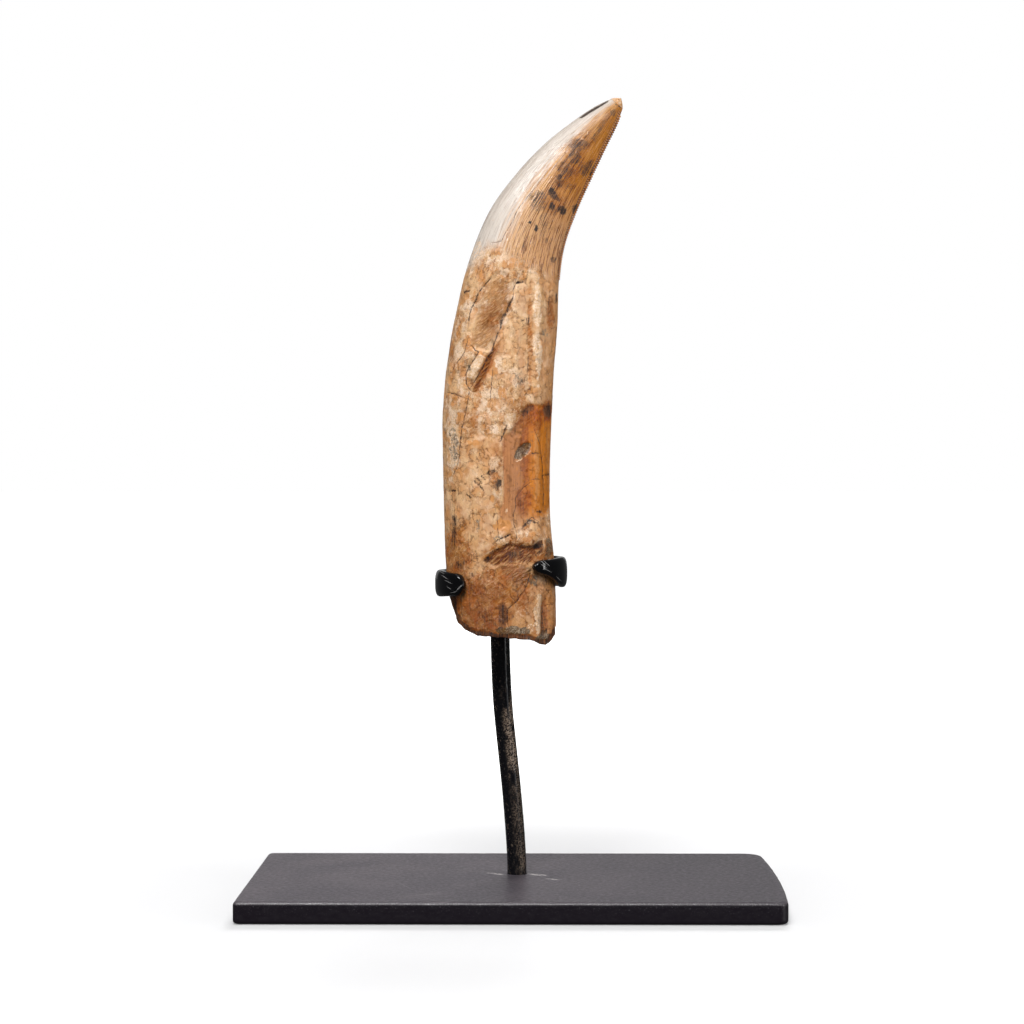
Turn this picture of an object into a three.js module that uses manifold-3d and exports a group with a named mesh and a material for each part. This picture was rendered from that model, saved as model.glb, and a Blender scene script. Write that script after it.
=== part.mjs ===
// A fossil tyrannosaur tooth held upright by two claws on a bent rod and a flat base plate.
// Millimetres, +Z up, the origin at the centre of the plate's underside. The tooth's labial face looks
// along -Y.
import * as THREE from "three";
import { mergeVertices } from "three/addons/utils/BufferGeometryUtils.js";
import Module from "manifold-3d";

const wasm = await Module();
wasm.setup();

// Base plate: its right side is bowed, and each corner has its own radius
const PLATE_WIDTH = 135.2;
const PLATE_DEPTH = 76.2;
const PLATE_THICKNESS = 5.5;
const PLATE_EDGE_ROUND = 0.6;
const PLATE_CORNERS = { frontLeft: 1.2, frontRight: 2.4, backRight: 4.6, backLeft: 1.0 };
const PLATE_RIGHT_INSET = 1.2;
const PLATE_LEFT_TAPER = 0.7;
const HOLE_FACETS = 12;

// Rod, from its lower end inside the plate to its upper end behind the root: [x, y, z]
const ROD_RADIUS = 2.35;
const ROD_LINE = [
  [0.7, 4.4, 0.5],
  [0.5, 4.2, 10.7],
  [-0.5, 3.7, 24.7],
  [-1.7, 3.2, 36.7],
  [-2.9, 2.7, 48.7],
  [-3.5, 2.1, 60.7],
  [-3.7, 1.6, 72.7],
  [-3.7, 1.5, 88.3],
];
const ROD_FACETS = 7;
const ROD_STEPS = 18;

// Gap kept between pieces that touch
const GAP = 0.3;

// Claws: flattened bars bent round the root, with the height and level of the bar at the side of the root and
// at the tip that laps over the labial face. side is -1 for the mesial one and 1 for the distal one.
const CLAW_THICKNESS = 2.8;
const CLAW_TAPER = { from: 0.6, to: 0.98 };
const CLAW_END = { from: 0.93, smallest: 0.35, flattest: 0.35 };
const CLAW_SQUARENESS = 3;
const CLAW_RINGS = 17;
const CLAW_FACETS = 12;
const CLAWS = {
  left_claw: { level: 81.0, height: 6.7, tipLevel: 81.0, tipHeight: 5.6, tipX: -12.2, side: -1 },
  right_claw: { level: 83.8, height: 7.7, tipLevel: 85.4, tipHeight: 3.4, tipX: 4.9, side: 1 },
};

// The tooth is lofted through stations from the root to the tip. Each has the outline's mesial and distal
// points [x, z], the labio-lingual thickness, the depth of its centre and the sharpness of its distal edge.
const ROUND = 0.5;
const STATIONS = [
  { mesial: [-15.7, 62.7], distal: [10.6, 62.7], thick: 20.4, y: -10.3, sharp: ROUND },
  { mesial: [-16.2, 74.7], distal: [10.5, 73.7], thick: 20.8, y: -10.3, sharp: ROUND },
  { mesial: [-17.1, 86.7], distal: [10.2, 85.2], thick: 21.0, y: -10.3, sharp: ROUND },
  { mesial: [-17.5, 99.2], distal: [9.1, 97.2], thick: 21.0, y: -10.2, sharp: 0.52 },
  { mesial: [-17.8, 111.7], distal: [9.0, 109.2], thick: 20.7, y: -10.1, sharp: 0.54 },
  { mesial: [-17.8, 124.2], distal: [9.4, 121.7], thick: 20.1, y: -9.9, sharp: 0.57 },
  { mesial: [-16.7, 136.2], distal: [10.0, 134.2], thick: 19.2, y: -9.6, sharp: 0.61 },
  { mesial: [-14.4, 149.2], distal: [10.9, 146.7], thick: 17.8, y: -9.2, sharp: 0.66 },
  { mesial: [-11.2, 162.0], distal: [11.3, 157.2], thick: 15.9, y: -8.7, sharp: 0.72 },
  { mesial: [-6.2, 174.2], distal: [12.6, 165.7], thick: 13.6, y: -8.1, sharp: 0.78 },
  { mesial: [0.5, 183.6], distal: [15.7, 174.5], thick: 11.3, y: -7.5, sharp: 0.83 },
  { mesial: [7.7, 191.2], distal: [19.2, 182.3], thick: 8.9, y: -7.0, sharp: 0.86 },
  { mesial: [14.7, 196.8], distal: [22.8, 190.0], thick: 6.5, y: -6.6, sharp: 0.88 },
  { mesial: [20.1, 200.5], distal: [25.6, 195.7], thick: 4.4, y: -6.3, sharp: 0.84 },
  { mesial: [24.2, 202.5], distal: [27.2, 199.9], thick: 2.3, y: -6.1, sharp: 0.7 },
];
const TIP = [26.9, -6.1, 202.8];
const LABIAL_SWELL = 1.04;
const LINGUAL_SWELL = 0.96;
const TOOTH_RINGS = 45;
const TOOTH_FACETS = 40;

// Low ridges and grooves that run along the tooth: centre across it, height, half-width, and the levels
// between which each one shows. They fade out near the edges of the section.
const FLUTES = [
  { x: 5.8, height: 0.45, width: 1.5, from: 89, to: 159 },
  { x: 2.7, height: -0.4, width: 1.6, from: 89, to: 153 },
  { x: -2.1, height: 0.25, width: 2.2, from: 71, to: 131 },
  { x: -8.0, height: -0.25, width: 2.4, from: 73, to: 119 },
];
const LINGUAL_GROOVE = { x: -3.7, height: -1.1, width: 4.5, from: 61, to: 129 };
const FLUTE_FADE = 9;
const EDGE_FADE = 2;

// Spalls where flakes have come off the labial face: centre [x, z], half-length, half-width, depth, and the
// angle of the long axis above +X in degrees
const SPALLS = [
  { at: [-5.1, 147.2], long: 11.5, short: 3.7, depth: 0.9, angle: 62 },
  { at: [-10.1, 133.3], long: 7.0, short: 1.3, depth: 0.9, angle: 58 },
  { at: [2.5, 113.8], long: 2.6, short: 1.1, depth: 0.6, angle: 40 },
  { at: [-1.1, 83.2], long: 7.6, short: 4.6, depth: 0.8, angle: 12 },
];
const SPALL_LENS = 2.2;

// The break across the root, as seen from the front, and the worn-out hollow of the pulp cavity in it
const BREAK_EDGE = [
  [-17.9, 80.2],
  [-15.9, 77.5],
  [-15.2, 74.8],
  [-13.9, 71.2],
  [-11.9, 69.7],
  [-9.0, 68.4],
  [-3.3, 68.0],
  [4.1, 67.3],
  [6.0, 66.3],
  [8.3, 65.9],
  [9.6, 66.8],
  [10.9, 69.1],
];
const BREAK_BLOCK = { left: -25, right: 25, below: 40, back: 30, depth: 60 };
const HOLLOW = { at: [-2.9, -10.3], halfWidth: 7.2, halfDepth: 4.8, rise: 3.2, level: 67.9 };

// Carinae: the keel of denticles on the distal edge, and the low keel on the lingual side of the mesial edge.
// from and to are shares of the length, angle and width go round the section in degrees.
const DENTICLE = { pitch: 0.62, length: 0.56, height: 0.42, root: 0.25, width: 0.5 };
const DISTAL_CARINA = { angle: 0, from: 0.567, to: 0.985 };
const MESIAL_CARINA = { angle: 153, height: 0.4, width: 7, from: 0.68, to: 0.97, fade: 0.05 };
const CARINA_SAMPLES = 400;
const CARINA_CHORD = 12;

// Angles round the section, which start at its distal edge
const LINGUAL = 90;
const MESIAL = 180;
const LABIAL = 270;
const FULL_TURN = 360;

const { degToRad, radToDeg, smoothstep, clamp, lerp } = THREE.MathUtils;

// The place between low and high where isBelow turns from true to false
function bisect(low, high, isBelow) {
  const halvings = 30;
  for (let i = 0; i < halvings; i++) {
    const middle = (low + high) / 2;
    if (isBelow(middle)) low = middle;
    else high = middle;
  }
  return low;
}

// Uniform Catmull-Rom value at u along a list of numbers
function spline(values, u) {
  const last = values.length - 1;
  const place = clamp(u, 0, 1) * last;
  const i = Math.min(Math.floor(place), last - 1);
  const t = place - i;
  const b = values[i];
  const c = values[i + 1];
  const a = i > 0 ? values[i - 1] : 2 * b - c;
  const d = i + 2 <= last ? values[i + 2] : 2 * c - b;
  const square = 2 * a - 5 * b + 4 * c - d;
  const cube = 3 * b - a - 3 * c + d;
  return (2 * b + (c - a) * t + square * t ** 2 + cube * t ** 3) / 2;
}

// The station at u, from 0 at the root to 1 near the tip
function sectionAt(u) {
  const read = (pick) => spline(STATIONS.map(pick), u);
  return {
    mesial: [read((s) => s.mesial[0]), read((s) => s.mesial[1])],
    distal: [read((s) => s.distal[0]), read((s) => s.distal[1])],
    thick: read((s) => s.thick),
    y: read((s) => s.y),
    sharp: read((s) => s.sharp),
  };
}

// 1 between two limits, with a smooth fade over each
function between(value, from, to, fade) {
  return smoothstep(value, from - fade, from + fade) * (1 - smoothstep(value, to - fade, to + fade));
}

// Height at a place of a ridge, or of a groove if it is negative
function flute({ x, height, width, from, to }, px, pz) {
  return height * Math.exp(-(((px - x) / width) ** 2)) * between(pz, from, to, FLUTE_FADE);
}

// Height of the mesial keel
function mesialKeel(u, degrees) {
  const { angle, height, width, from, to, fade } = MESIAL_CARINA;
  return height * Math.exp(-(((degrees - angle) / width) ** 2)) * between(u, from, to, fade / 2);
}

// Half-thickness of a section of half-thickness 1, where across goes from -1 (mesial) to 1 (distal)
function sectionHalf(across, sharp) {
  const bulge = (v) => Math.max(1 - v, 0) ** sharp * Math.max(1 + v, 0) ** ROUND;
  return bulge(across) / bulge((ROUND - sharp) / (ROUND + sharp));
}

// Point of the tooth's surface at u and at an angle round the section
function toothPoint(u, degrees) {
  const s = sectionAt(u);
  const across = Math.cos(degToRad(degrees));
  const lingual = Math.sin(degToRad(degrees)) >= 0;
  const x = lerp(s.mesial[0], s.distal[0], (1 + across) / 2);
  const z = lerp(s.mesial[1], s.distal[1], (1 + across) / 2);
  const share = sectionHalf(across, s.sharp);
  const half = (s.thick / 2) * share * (lingual ? LINGUAL_SWELL : LABIAL_SWELL);
  const relief = (lingual ? [LINGUAL_GROOVE] : FLUTES).reduce((sum, f) => sum + flute(f, x, z), 0);
  const depth = half + relief * Math.min(1, share * EDGE_FADE) + mesialKeel(u, degrees);
  return new THREE.Vector3(x, s.y + (lingual ? depth : -depth), z);
}

// Closed surface through rings of points, each with the same count, with a fan over each end
function loft(rings, start, end) {
  const sides = rings[0].length;
  const points = [...rings.flat(), start, end];
  const startAt = points.length - 2;
  const endAt = points.length - 1;
  const top = (rings.length - 1) * sides;
  const index = [];
  for (let i = 0; i < sides; i++) {
    const j = (i + 1) % sides;
    for (let ring = 0; ring < top; ring += sides) {
      const above = ring + sides;
      index.push(ring + i, ring + j, above + j, ring + i, above + j, above + i);
    }
    index.push(startAt, j, i, endAt, top + i, top + j);
  }
  const geometry = new THREE.BufferGeometry().setFromPoints(points);
  geometry.setIndex(index);
  return geometry;
}

// A closed geometry as a solid that can be joined and cut
function solid(geometry) {
  const bare = new THREE.BufferGeometry().setAttribute("position", geometry.getAttribute("position"));
  bare.setIndex(geometry.getIndex());
  const merged = mergeVertices(bare, 1e-4);
  return new wasm.Manifold(
    new wasm.Mesh({
      numProp: 3,
      vertProperties: new Float32Array(merged.getAttribute("position").array),
      triVerts: new Uint32Array(merged.getIndex().array),
    }),
  );
}

// A solid as a geometry with flat faces
function geometryOf(made) {
  const mesh = made.getMesh();
  const geometry = new THREE.BufferGeometry();
  geometry.setAttribute("position", new THREE.BufferAttribute(mesh.vertProperties, 3));
  geometry.setIndex(new THREE.BufferAttribute(mesh.triVerts, 1));
  return geometry;
}

// Middle of a list of points
function centre(points) {
  return points.reduce((sum, p) => sum.add(p), new THREE.Vector3()).divideScalar(points.length);
}

// One denticle, a wedge standing on the surface: out points away from the tooth, along follows the keel
function denticle(foot, out, along) {
  const across = new THREE.Vector3().crossVectors(out, along).normalize();
  const profile = [
    [-DENTICLE.length / 2, -DENTICLE.root],
    [DENTICLE.length / 2, -DENTICLE.root],
    [0, DENTICLE.height],
  ];
  const slice = (offset) =>
    profile.map(([length, rise]) => {
      const point = foot.clone().addScaledVector(along, length).addScaledVector(out, rise);
      return point.addScaledVector(across, offset);
    });
  const near = slice(DENTICLE.width / 2);
  const far = slice(-DENTICLE.width / 2);
  return loft([near, far], centre(near), centre(far));
}

// Direction that points straight out of the tooth at a keel
function keelOutward(u, angle, along) {
  const chord = toothPoint(u, angle + CARINA_CHORD).sub(toothPoint(u, angle - CARINA_CHORD));
  const out = new THREE.Vector3().crossVectors(chord, along).normalize();
  const middle = centre([toothPoint(u, LINGUAL), toothPoint(u, LABIAL)]);
  return out.dot(toothPoint(u, angle).sub(middle)) < 0 ? out.negate() : out;
}

// The denticles of one keel, at an even pitch along the surface's line at its angle
function carina({ angle, from, to }) {
  const made = [];
  let gone = 0;
  let before = toothPoint(from, angle);
  for (let i = 1; i <= CARINA_SAMPLES; i++) {
    const u = lerp(from, to, i / CARINA_SAMPLES);
    const here = toothPoint(u, angle);
    gone += here.distanceTo(before);
    if (gone >= DENTICLE.pitch) {
      const along = here.clone().sub(before).normalize();
      made.push(solid(denticle(here, keelOutward(u, angle, along), along)));
      gone -= DENTICLE.pitch;
    }
    before = here;
  }
  return made;
}

// Depth (y) of the labial face at a place seen from the front
function labialDepth(x, z) {
  const u = bisect(0, 1, (at) => {
    const s = sectionAt(at);
    return lerp(s.mesial[1], s.distal[1], (x - s.mesial[0]) / (s.distal[0] - s.mesial[0])) < z;
  });
  const s = sectionAt(u);
  const across = clamp((2 * x - s.distal[0] - s.mesial[0]) / (s.distal[0] - s.mesial[0]), -1, 1);
  return toothPoint(u, FULL_TURN - radToDeg(Math.acos(across))).y;
}

// A flat lens that takes a flake out of the labial face
function spallCutter({ at: [x, z], long, short, depth, angle }) {
  const slope = (labialDepth(x + 1, z) - labialDepth(x - 1, z)) / 2;
  const rise = (labialDepth(x, z + 1) - labialDepth(x, z - 1)) / 2;
  const out = new THREE.Vector3(slope, -1, rise).normalize();
  const axis = new THREE.Vector3(Math.cos(degToRad(angle)), 0, Math.sin(degToRad(angle)));
  const across = new THREE.Vector3().crossVectors(out, axis).normalize();
  const along = new THREE.Vector3().crossVectors(across, out);
  const lens = new THREE.SphereGeometry(1, 20, 10);
  lens.deleteAttribute("normal");
  lens.deleteAttribute("uv");
  lens.scale(long, short, depth * SPALL_LENS);
  lens.applyMatrix4(new THREE.Matrix4().makeBasis(along, across, out));
  const middle = new THREE.Vector3(x, labialDepth(x, z), z).addScaledVector(out, depth * (SPALL_LENS - 1));
  return solid(lens.translate(middle.x, middle.y, middle.z));
}

// Everything below the broken end of the root
function breakCutter() {
  const { left, right, below, back, depth } = BREAK_BLOCK;
  const corners = [
    [left, below],
    [left, BREAK_EDGE[0][1]],
    ...BREAK_EDGE,
    [right, BREAK_EDGE.at(-1)[1]],
    [right, below],
  ];
  const shape = new THREE.Shape(corners.map(([x, z]) => new THREE.Vector2(x, z)));
  const block = new THREE.ExtrudeGeometry(shape, { depth, bevelEnabled: false, curveSegments: 1 });
  return solid(block.rotateX(Math.PI / 2).translate(0, back, 0));
}

// The hollow of the pulp cavity in the broken end
function hollowCutter() {
  const dome = new THREE.SphereGeometry(1, 16, 10);
  dome.scale(HOLLOW.halfWidth, HOLLOW.halfDepth, HOLLOW.rise);
  return solid(dome.translate(HOLLOW.at[0], HOLLOW.at[1], HOLLOW.level));
}

function tooth() {
  const step = FULL_TURN / TOOTH_FACETS;
  const ring = (u) => Array.from({ length: TOOTH_FACETS }, (_, i) => toothPoint(u, i * step));
  const rings = Array.from({ length: TOOTH_RINGS + 1 }, (_, i) => ring(i / TOOTH_RINGS));
  let made = solid(loft(rings, centre(rings[0]), new THREE.Vector3(...TIP)));
  for (const spall of SPALLS) made = made.subtract(spallCutter(spall));
  for (const wedge of carina(DISTAL_CARINA)) made = made.add(wedge);
  return geometryOf(made.subtract(breakCutter()).subtract(hollowCutter()));
}

// The plate's outline, moved in by a distance
function plateOutline(inset) {
  const half = PLATE_WIDTH / 2 - inset;
  const deep = PLATE_DEPTH / 2 - inset;
  const { frontLeft, frontRight, backRight, backLeft } = PLATE_CORNERS;
  const right = half - PLATE_RIGHT_INSET;
  const backCorner = -half + PLATE_LEFT_TAPER;
  const bow = right + 2 * PLATE_RIGHT_INSET;
  const shape = new THREE.Shape();
  shape.moveTo(-half + frontLeft, -deep);
  shape.absarc(right - frontRight, -deep + frontRight, frontRight, -Math.PI / 2, 0, false);
  shape.quadraticCurveTo(bow, (frontRight - backRight) / 2, right, deep - backRight);
  shape.absarc(right - backRight, deep - backRight, backRight, 0, Math.PI / 2, false);
  shape.absarc(backCorner + backLeft, deep - backLeft, backLeft, Math.PI / 2, Math.PI, false);
  shape.absarc(-half + frontLeft, -deep + frontLeft, frontLeft, Math.PI, 1.5 * Math.PI, false);
  return shape;
}

// The plate, with a hole for the rod's foot
function basePlate() {
  const shape = plateOutline(PLATE_EDGE_ROUND);
  const [holeX, holeY] = ROD_LINE[0];
  const radius = (ROD_RADIUS + GAP + PLATE_EDGE_ROUND) / Math.cos(Math.PI / HOLE_FACETS);
  const corner = (i) => (-2 * Math.PI * i) / HOLE_FACETS;
  const corners = Array.from({ length: HOLE_FACETS }, (_, i) => {
    return new THREE.Vector2(holeX + radius * Math.cos(corner(i)), holeY + radius * Math.sin(corner(i)));
  });
  shape.holes.push(new THREE.Path(corners).closePath());
  const plate = new THREE.ExtrudeGeometry(shape, {
    depth: PLATE_THICKNESS - 2 * PLATE_EDGE_ROUND,
    bevelEnabled: true,
    bevelSize: PLATE_EDGE_ROUND,
    bevelThickness: PLATE_EDGE_ROUND,
    bevelSegments: 2,
    curveSegments: 3,
  });
  return plate.translate(0, 0, PLATE_EDGE_ROUND);
}

function supportRod() {
  const line = new THREE.CatmullRomCurve3(ROD_LINE.map((point) => new THREE.Vector3(...point)));
  const round = new THREE.Shape().absarc(0, 0, ROD_RADIUS, 0, 2 * Math.PI, false);
  return new THREE.ExtrudeGeometry(round, { steps: ROD_STEPS, extrudePath: line, curveSegments: ROD_FACETS });
}

// Point a distance outside the root's surface at a level and an angle, and the level direction out of it
function besideRoot(level, degrees, distance) {
  const surface = (angle) => {
    const u = bisect(0, 0.5, (at) => toothPoint(at, angle).z < level);
    return toothPoint(u, angle);
  };
  const along = surface(degrees + 2).sub(surface(degrees - 2)).setZ(0).normalize();
  const out = new THREE.Vector3(along.y, -along.x, 0);
  return { point: surface(degrees).setZ(level).addScaledVector(out, distance), out };
}

// The angles round the root at which a claw's middle line leaves the rod's flank and reaches its tip
function clawSpan({ level, tipX, side }, distance) {
  const lineX = (angle) => besideRoot(level, angle, distance).point.x;
  const flank = ROD_LINE.at(-1)[0] + side * (ROD_RADIUS + GAP);
  const behind = side < 0 ? [LINGUAL, MESIAL] : [0, LINGUAL];
  const before = side < 0 ? [MESIAL, LABIAL] : [LABIAL, FULL_TURN];
  const start = bisect(...behind, (angle) => lineX(angle) > flank);
  const end = bisect(...before, (angle) => lineX(angle) < tipX);
  return [side < 0 ? start : start + FULL_TURN, end];
}

// One arm: from the rod's flank round the side of the root to a tip that laps over its labial face
function claw(sizes) {
  const distance = GAP + CLAW_THICKNESS / 2;
  const [start, end] = clawSpan(sizes, distance);
  const ring = (share) => {
    const { point, out } = besideRoot(sizes.level, lerp(start, end, share), distance);
    const tapered = smoothstep(share, CLAW_TAPER.from, CLAW_TAPER.to);
    const past = Math.max(0, (share - CLAW_END.from) / (1 - CLAW_END.from));
    const closing = Math.max(Math.sqrt(1 - past ** 2), CLAW_END.smallest);
    const tall = lerp(sizes.height, sizes.tipHeight, tapered) * closing;
    const thick = CLAW_THICKNESS * lerp(CLAW_END.flattest, 1, closing);
    point.z = lerp(sizes.level, sizes.tipLevel, tapered);
    return Array.from({ length: CLAW_FACETS }, (_, i) => {
      const angle = (sizes.side * 2 * Math.PI * i) / CLAW_FACETS;
      const [c, s] = [Math.cos(angle), Math.sin(angle)];
      const power = Math.abs(c) ** CLAW_SQUARENESS + Math.abs(s) ** CLAW_SQUARENESS;
      const reach = power ** (-1 / CLAW_SQUARENESS);
      const corner = point.clone().addScaledVector(out, (thick / 2) * reach * c);
      return corner.setZ(point.z + (tall / 2) * reach * s);
    });
  };
  const rings = Array.from({ length: CLAW_RINGS + 1 }, (_, i) => ring(i / CLAW_RINGS));
  return loft(rings, centre(rings[0]), centre(rings.at(-1)));
}

const MATERIALS = {
  fossil: new THREE.MeshStandardMaterial({ color: 0xb98a5c, roughness: 0.5, metalness: 0 }),
  plate: new THREE.MeshStandardMaterial({ color: 0x242127, roughness: 0.45, metalness: 0 }),
  rod: new THREE.MeshStandardMaterial({ color: 0x121114, roughness: 0.3, metalness: 0 }),
  claw: new THREE.MeshStandardMaterial({ color: 0x121114, roughness: 0.2, metalness: 0 }),
};

function named(name, geometry, material) {
  const mesh = new THREE.Mesh(geometry, material);
  mesh.name = name;
  return mesh;
}

const model = new THREE.Group();
model.add(named("base_plate", basePlate(), MATERIALS.plate));
model.add(named("support_rod", supportRod(), MATERIALS.rod));
for (const [name, sizes] of Object.entries(CLAWS)) model.add(named(name, claw(sizes), MATERIALS.claw));
model.add(named("tooth", tooth(), MATERIALS.fossil));

export default model;
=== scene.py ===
"""Visual model of a fossil tyrannosaur tooth on its stand. Lengths are in millimetres until mesh_of."""
import math
from itertools import zip_longest

import bpy
import numpy as np
from mathutils import Matrix, Vector


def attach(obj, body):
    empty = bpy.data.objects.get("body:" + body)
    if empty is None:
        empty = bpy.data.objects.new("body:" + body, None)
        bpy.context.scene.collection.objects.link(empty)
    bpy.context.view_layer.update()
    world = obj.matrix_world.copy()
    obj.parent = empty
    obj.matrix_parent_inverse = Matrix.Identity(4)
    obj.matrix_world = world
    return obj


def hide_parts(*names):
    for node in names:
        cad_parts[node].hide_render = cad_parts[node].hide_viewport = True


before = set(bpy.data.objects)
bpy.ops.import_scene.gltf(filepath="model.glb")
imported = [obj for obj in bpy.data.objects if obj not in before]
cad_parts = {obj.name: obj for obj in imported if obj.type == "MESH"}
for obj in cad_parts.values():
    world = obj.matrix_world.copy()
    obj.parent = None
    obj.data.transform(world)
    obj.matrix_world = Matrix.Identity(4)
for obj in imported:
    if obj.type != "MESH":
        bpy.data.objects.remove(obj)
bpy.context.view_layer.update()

MM = 0.001

# Camera: the photograph's frame is 1024 pixels square
IMAGE = 1024
FOCAL_PX = 2513.0
CAMERA_AT = np.array((5.0, -640.1, 112.1))
CAMERA_TILT = 1.21
CAMERA_YAW = 0.50

# Plate
PLATE_WIDTH = 135.2
PLATE_DEPTH = 76.2
PLATE_THICKNESS = 5.5
PLATE_EDGE_ROUND = 0.9
PLATE_CORNERS = {"front_left": 1.2, "front_right": 2.4, "back_right": 4.6, "back_left": 1.0}
PLATE_RIGHT_INSET = 1.2
PLATE_LEFT_TAPER = 0.7
PLATE_RIGHT_BOW = 1.06

# Rod
ROD_RADIUS = 2.35
ROD_PAINT = 0.1
ROD_LINE = [
    (0.7, 4.4, 0.5),
    (0.5, 4.2, 10.7),
    (-0.5, 3.7, 24.7),
    (-1.7, 3.2, 36.7),
    (-2.9, 2.7, 48.7),
    (-3.5, 2.1, 60.7),
    (-3.7, 1.6, 72.7),
    (-3.7, 1.5, 88.3),
]
GAP = 0.3

# Claws
CLAW_THICKNESS = 2.8
CLAW_TAPER = (0.6, 0.98)
CLAW_SQUARENESS = 3.0
CLAWS = {
    "left_claw": {
        "side": -1, "level": 81.0, "height": 6.7, "tip_level": 81.0, "tip_height": 5.6, "tip_x": -12.2},
    "right_claw": {
        "side": 1, "level": 83.8, "height": 7.7, "tip_level": 85.4, "tip_height": 3.4, "tip_x": 4.9},
}

# Tooth: stations from the root to the tip, each with the outline's mesial x, z and distal x, z,
# the thickness, the depth of its centre and the sharpness of its distal edge
ROUND = 0.5
STATIONS = np.array([
    (-15.7, 62.7, 10.6, 62.7, 20.4, -10.3, ROUND),
    (-16.2, 74.7, 10.5, 73.7, 20.8, -10.3, ROUND),
    (-17.1, 86.7, 10.2, 85.2, 21.0, -10.3, ROUND),
    (-17.5, 99.2, 9.1, 97.2, 21.0, -10.2, 0.52),
    (-17.8, 111.7, 9.0, 109.2, 20.7, -10.1, 0.54),
    (-17.8, 124.2, 9.4, 121.7, 20.1, -9.9, 0.57),
    (-16.7, 136.2, 10.0, 134.2, 19.2, -9.6, 0.61),
    (-14.4, 149.2, 10.9, 146.7, 17.8, -9.2, 0.66),
    (-11.2, 162.0, 11.3, 157.2, 15.9, -8.7, 0.72),
    (-6.2, 174.2, 12.6, 165.7, 13.6, -8.1, 0.78),
    (0.5, 183.6, 15.7, 174.5, 11.3, -7.5, 0.83),
    (7.7, 191.2, 19.2, 182.3, 8.9, -7.0, 0.86),
    (14.7, 196.8, 22.8, 190.0, 6.5, -6.6, 0.88),
    (20.1, 200.5, 25.6, 195.7, 4.4, -6.3, 0.84),
    (24.2, 202.5, 27.2, 199.9, 2.3, -6.1, 0.7),
])
TIP = np.array((26.9, -6.1, 202.8))
LABIAL_SWELL = 1.04
LINGUAL_SWELL = 0.96
# Ridges and grooves: centre across the tooth, height, half-width, and the levels between which each one shows
FLUTES = [
    (5.8, 0.45, 1.5, 89, 159),
    (2.7, -0.4, 1.6, 89, 153),
    (-2.1, 0.25, 2.2, 71, 131),
    (-8.0, -0.25, 2.4, 73, 119),
]
LINGUAL_GROOVE = (-3.7, -1.1, 4.5, 61, 129)
FLUTE_FADE = 9.0
BREAK_EDGE = np.array([
    (-17.9, 80.2),
    (-15.9, 77.5),
    (-15.2, 74.8),
    (-13.9, 71.2),
    (-11.9, 69.7),
    (-9.0, 68.4),
    (-3.3, 68.0),
    (4.1, 67.3),
    (6.0, 66.3),
    (8.3, 65.9),
    (9.6, 66.8),
    (10.9, 69.1),
])
HOLLOW = {"at": (-2.9, -10.3), "half_width": 7.2, "half_depth": 4.8, "rise": 3.2}
DENTICLE = {"pitch": 0.62, "length": 0.44, "root": 0.35, "width": 0.8, "rise": 0.62}
DISTAL_CARINA = {"angle": 0.0, "from": 0.567, "to": 0.985}
MESIAL_CARINA = {"angle": 153.0, "height": 0.4, "width": 7.0, "from": 0.68, "to": 0.97, "fade": 0.05}

# Fine meshes of the stand
ROD_RINGS = 240
ROD_FACETS = 48
ROD_END_ROUND = 0.5
# The rod's band of bare-steel specks faces this way, towards the right softbox: partly wear and partly a
# painted highlight.
ROD_SHEEN_SIDE = (0.62, -0.78, 0.0)
CLAW_RINGS = 200
CLAW_FACETS = 88
PLATE_CORNER_STEPS = 10
PLATE_EDGE_STEPS = 6
PLATE_SIDE_STEP = 0.9
PLATE_WEAR = 0.12

LINGUAL, MESIAL, LABIAL, FULL_TURN = 90.0, 180.0, 270.0, 360.0
CLAW_END = {"from": 0.93, "smallest": 0.35, "flattest": 0.35}

# Studio
FLOOR = (0.46, 0.46, 0.465)
FLOOR_REACH = 8.0
FLOOR_DROP = 0.1
FLOOR_GLOW = (0.2, 1.0)
AIM = Vector((0.0, 0.0, 0.12))
SOFTBOXES = [
    {"name": "key", "at": (-0.16, -0.62, 0.78), "size": (0.42, 0.12), "power": 13.5, "seen_in": "gloss"},
    {"name": "front", "at": (-0.10, -0.80, 0.80), "size": (0.5, 0.4), "power": 13.0, "seen_in": "colour"},
    {"name": "left", "at": (-0.82, -0.42, 0.30), "size": (0.16, 0.7), "power": 3.0, "seen_in": "colour"},
    {"name": "right", "at": (0.86, -0.40, 0.26), "size": (0.18, 0.7), "power": 4.5, "seen_in": "both"},
    {"name": "top", "at": (0.0, 0.15, 1.20), "size": (0.9, 0.7), "power": 3.5, "seen_in": "both"},
    {"name": "back", "at": (-0.12, 1.30, 0.30), "size": (1.5, 0.5), "power": 0.85, "seen_in": "gloss"},
    {"name": "rear", "at": (0.16, 0.85, 0.72), "size": (0.5, 0.3), "power": 11.0, "seen_in": "colour"},
]
WORLD_LIGHT = 0.12

# A distance past every line, in half-widths
FAR = 50.0

# Fine tooth mesh
RINGS = 470
LABIAL_COLUMNS = 108
LINGUAL_COLUMNS = 60
AVERAGE_SECTION = (13.3, 10.4)
CAP_RINGS = 16
TIP_RINGS = 6
KEEL_SAMPLES = 3000
KEEL_CHORD = 12.0

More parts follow.
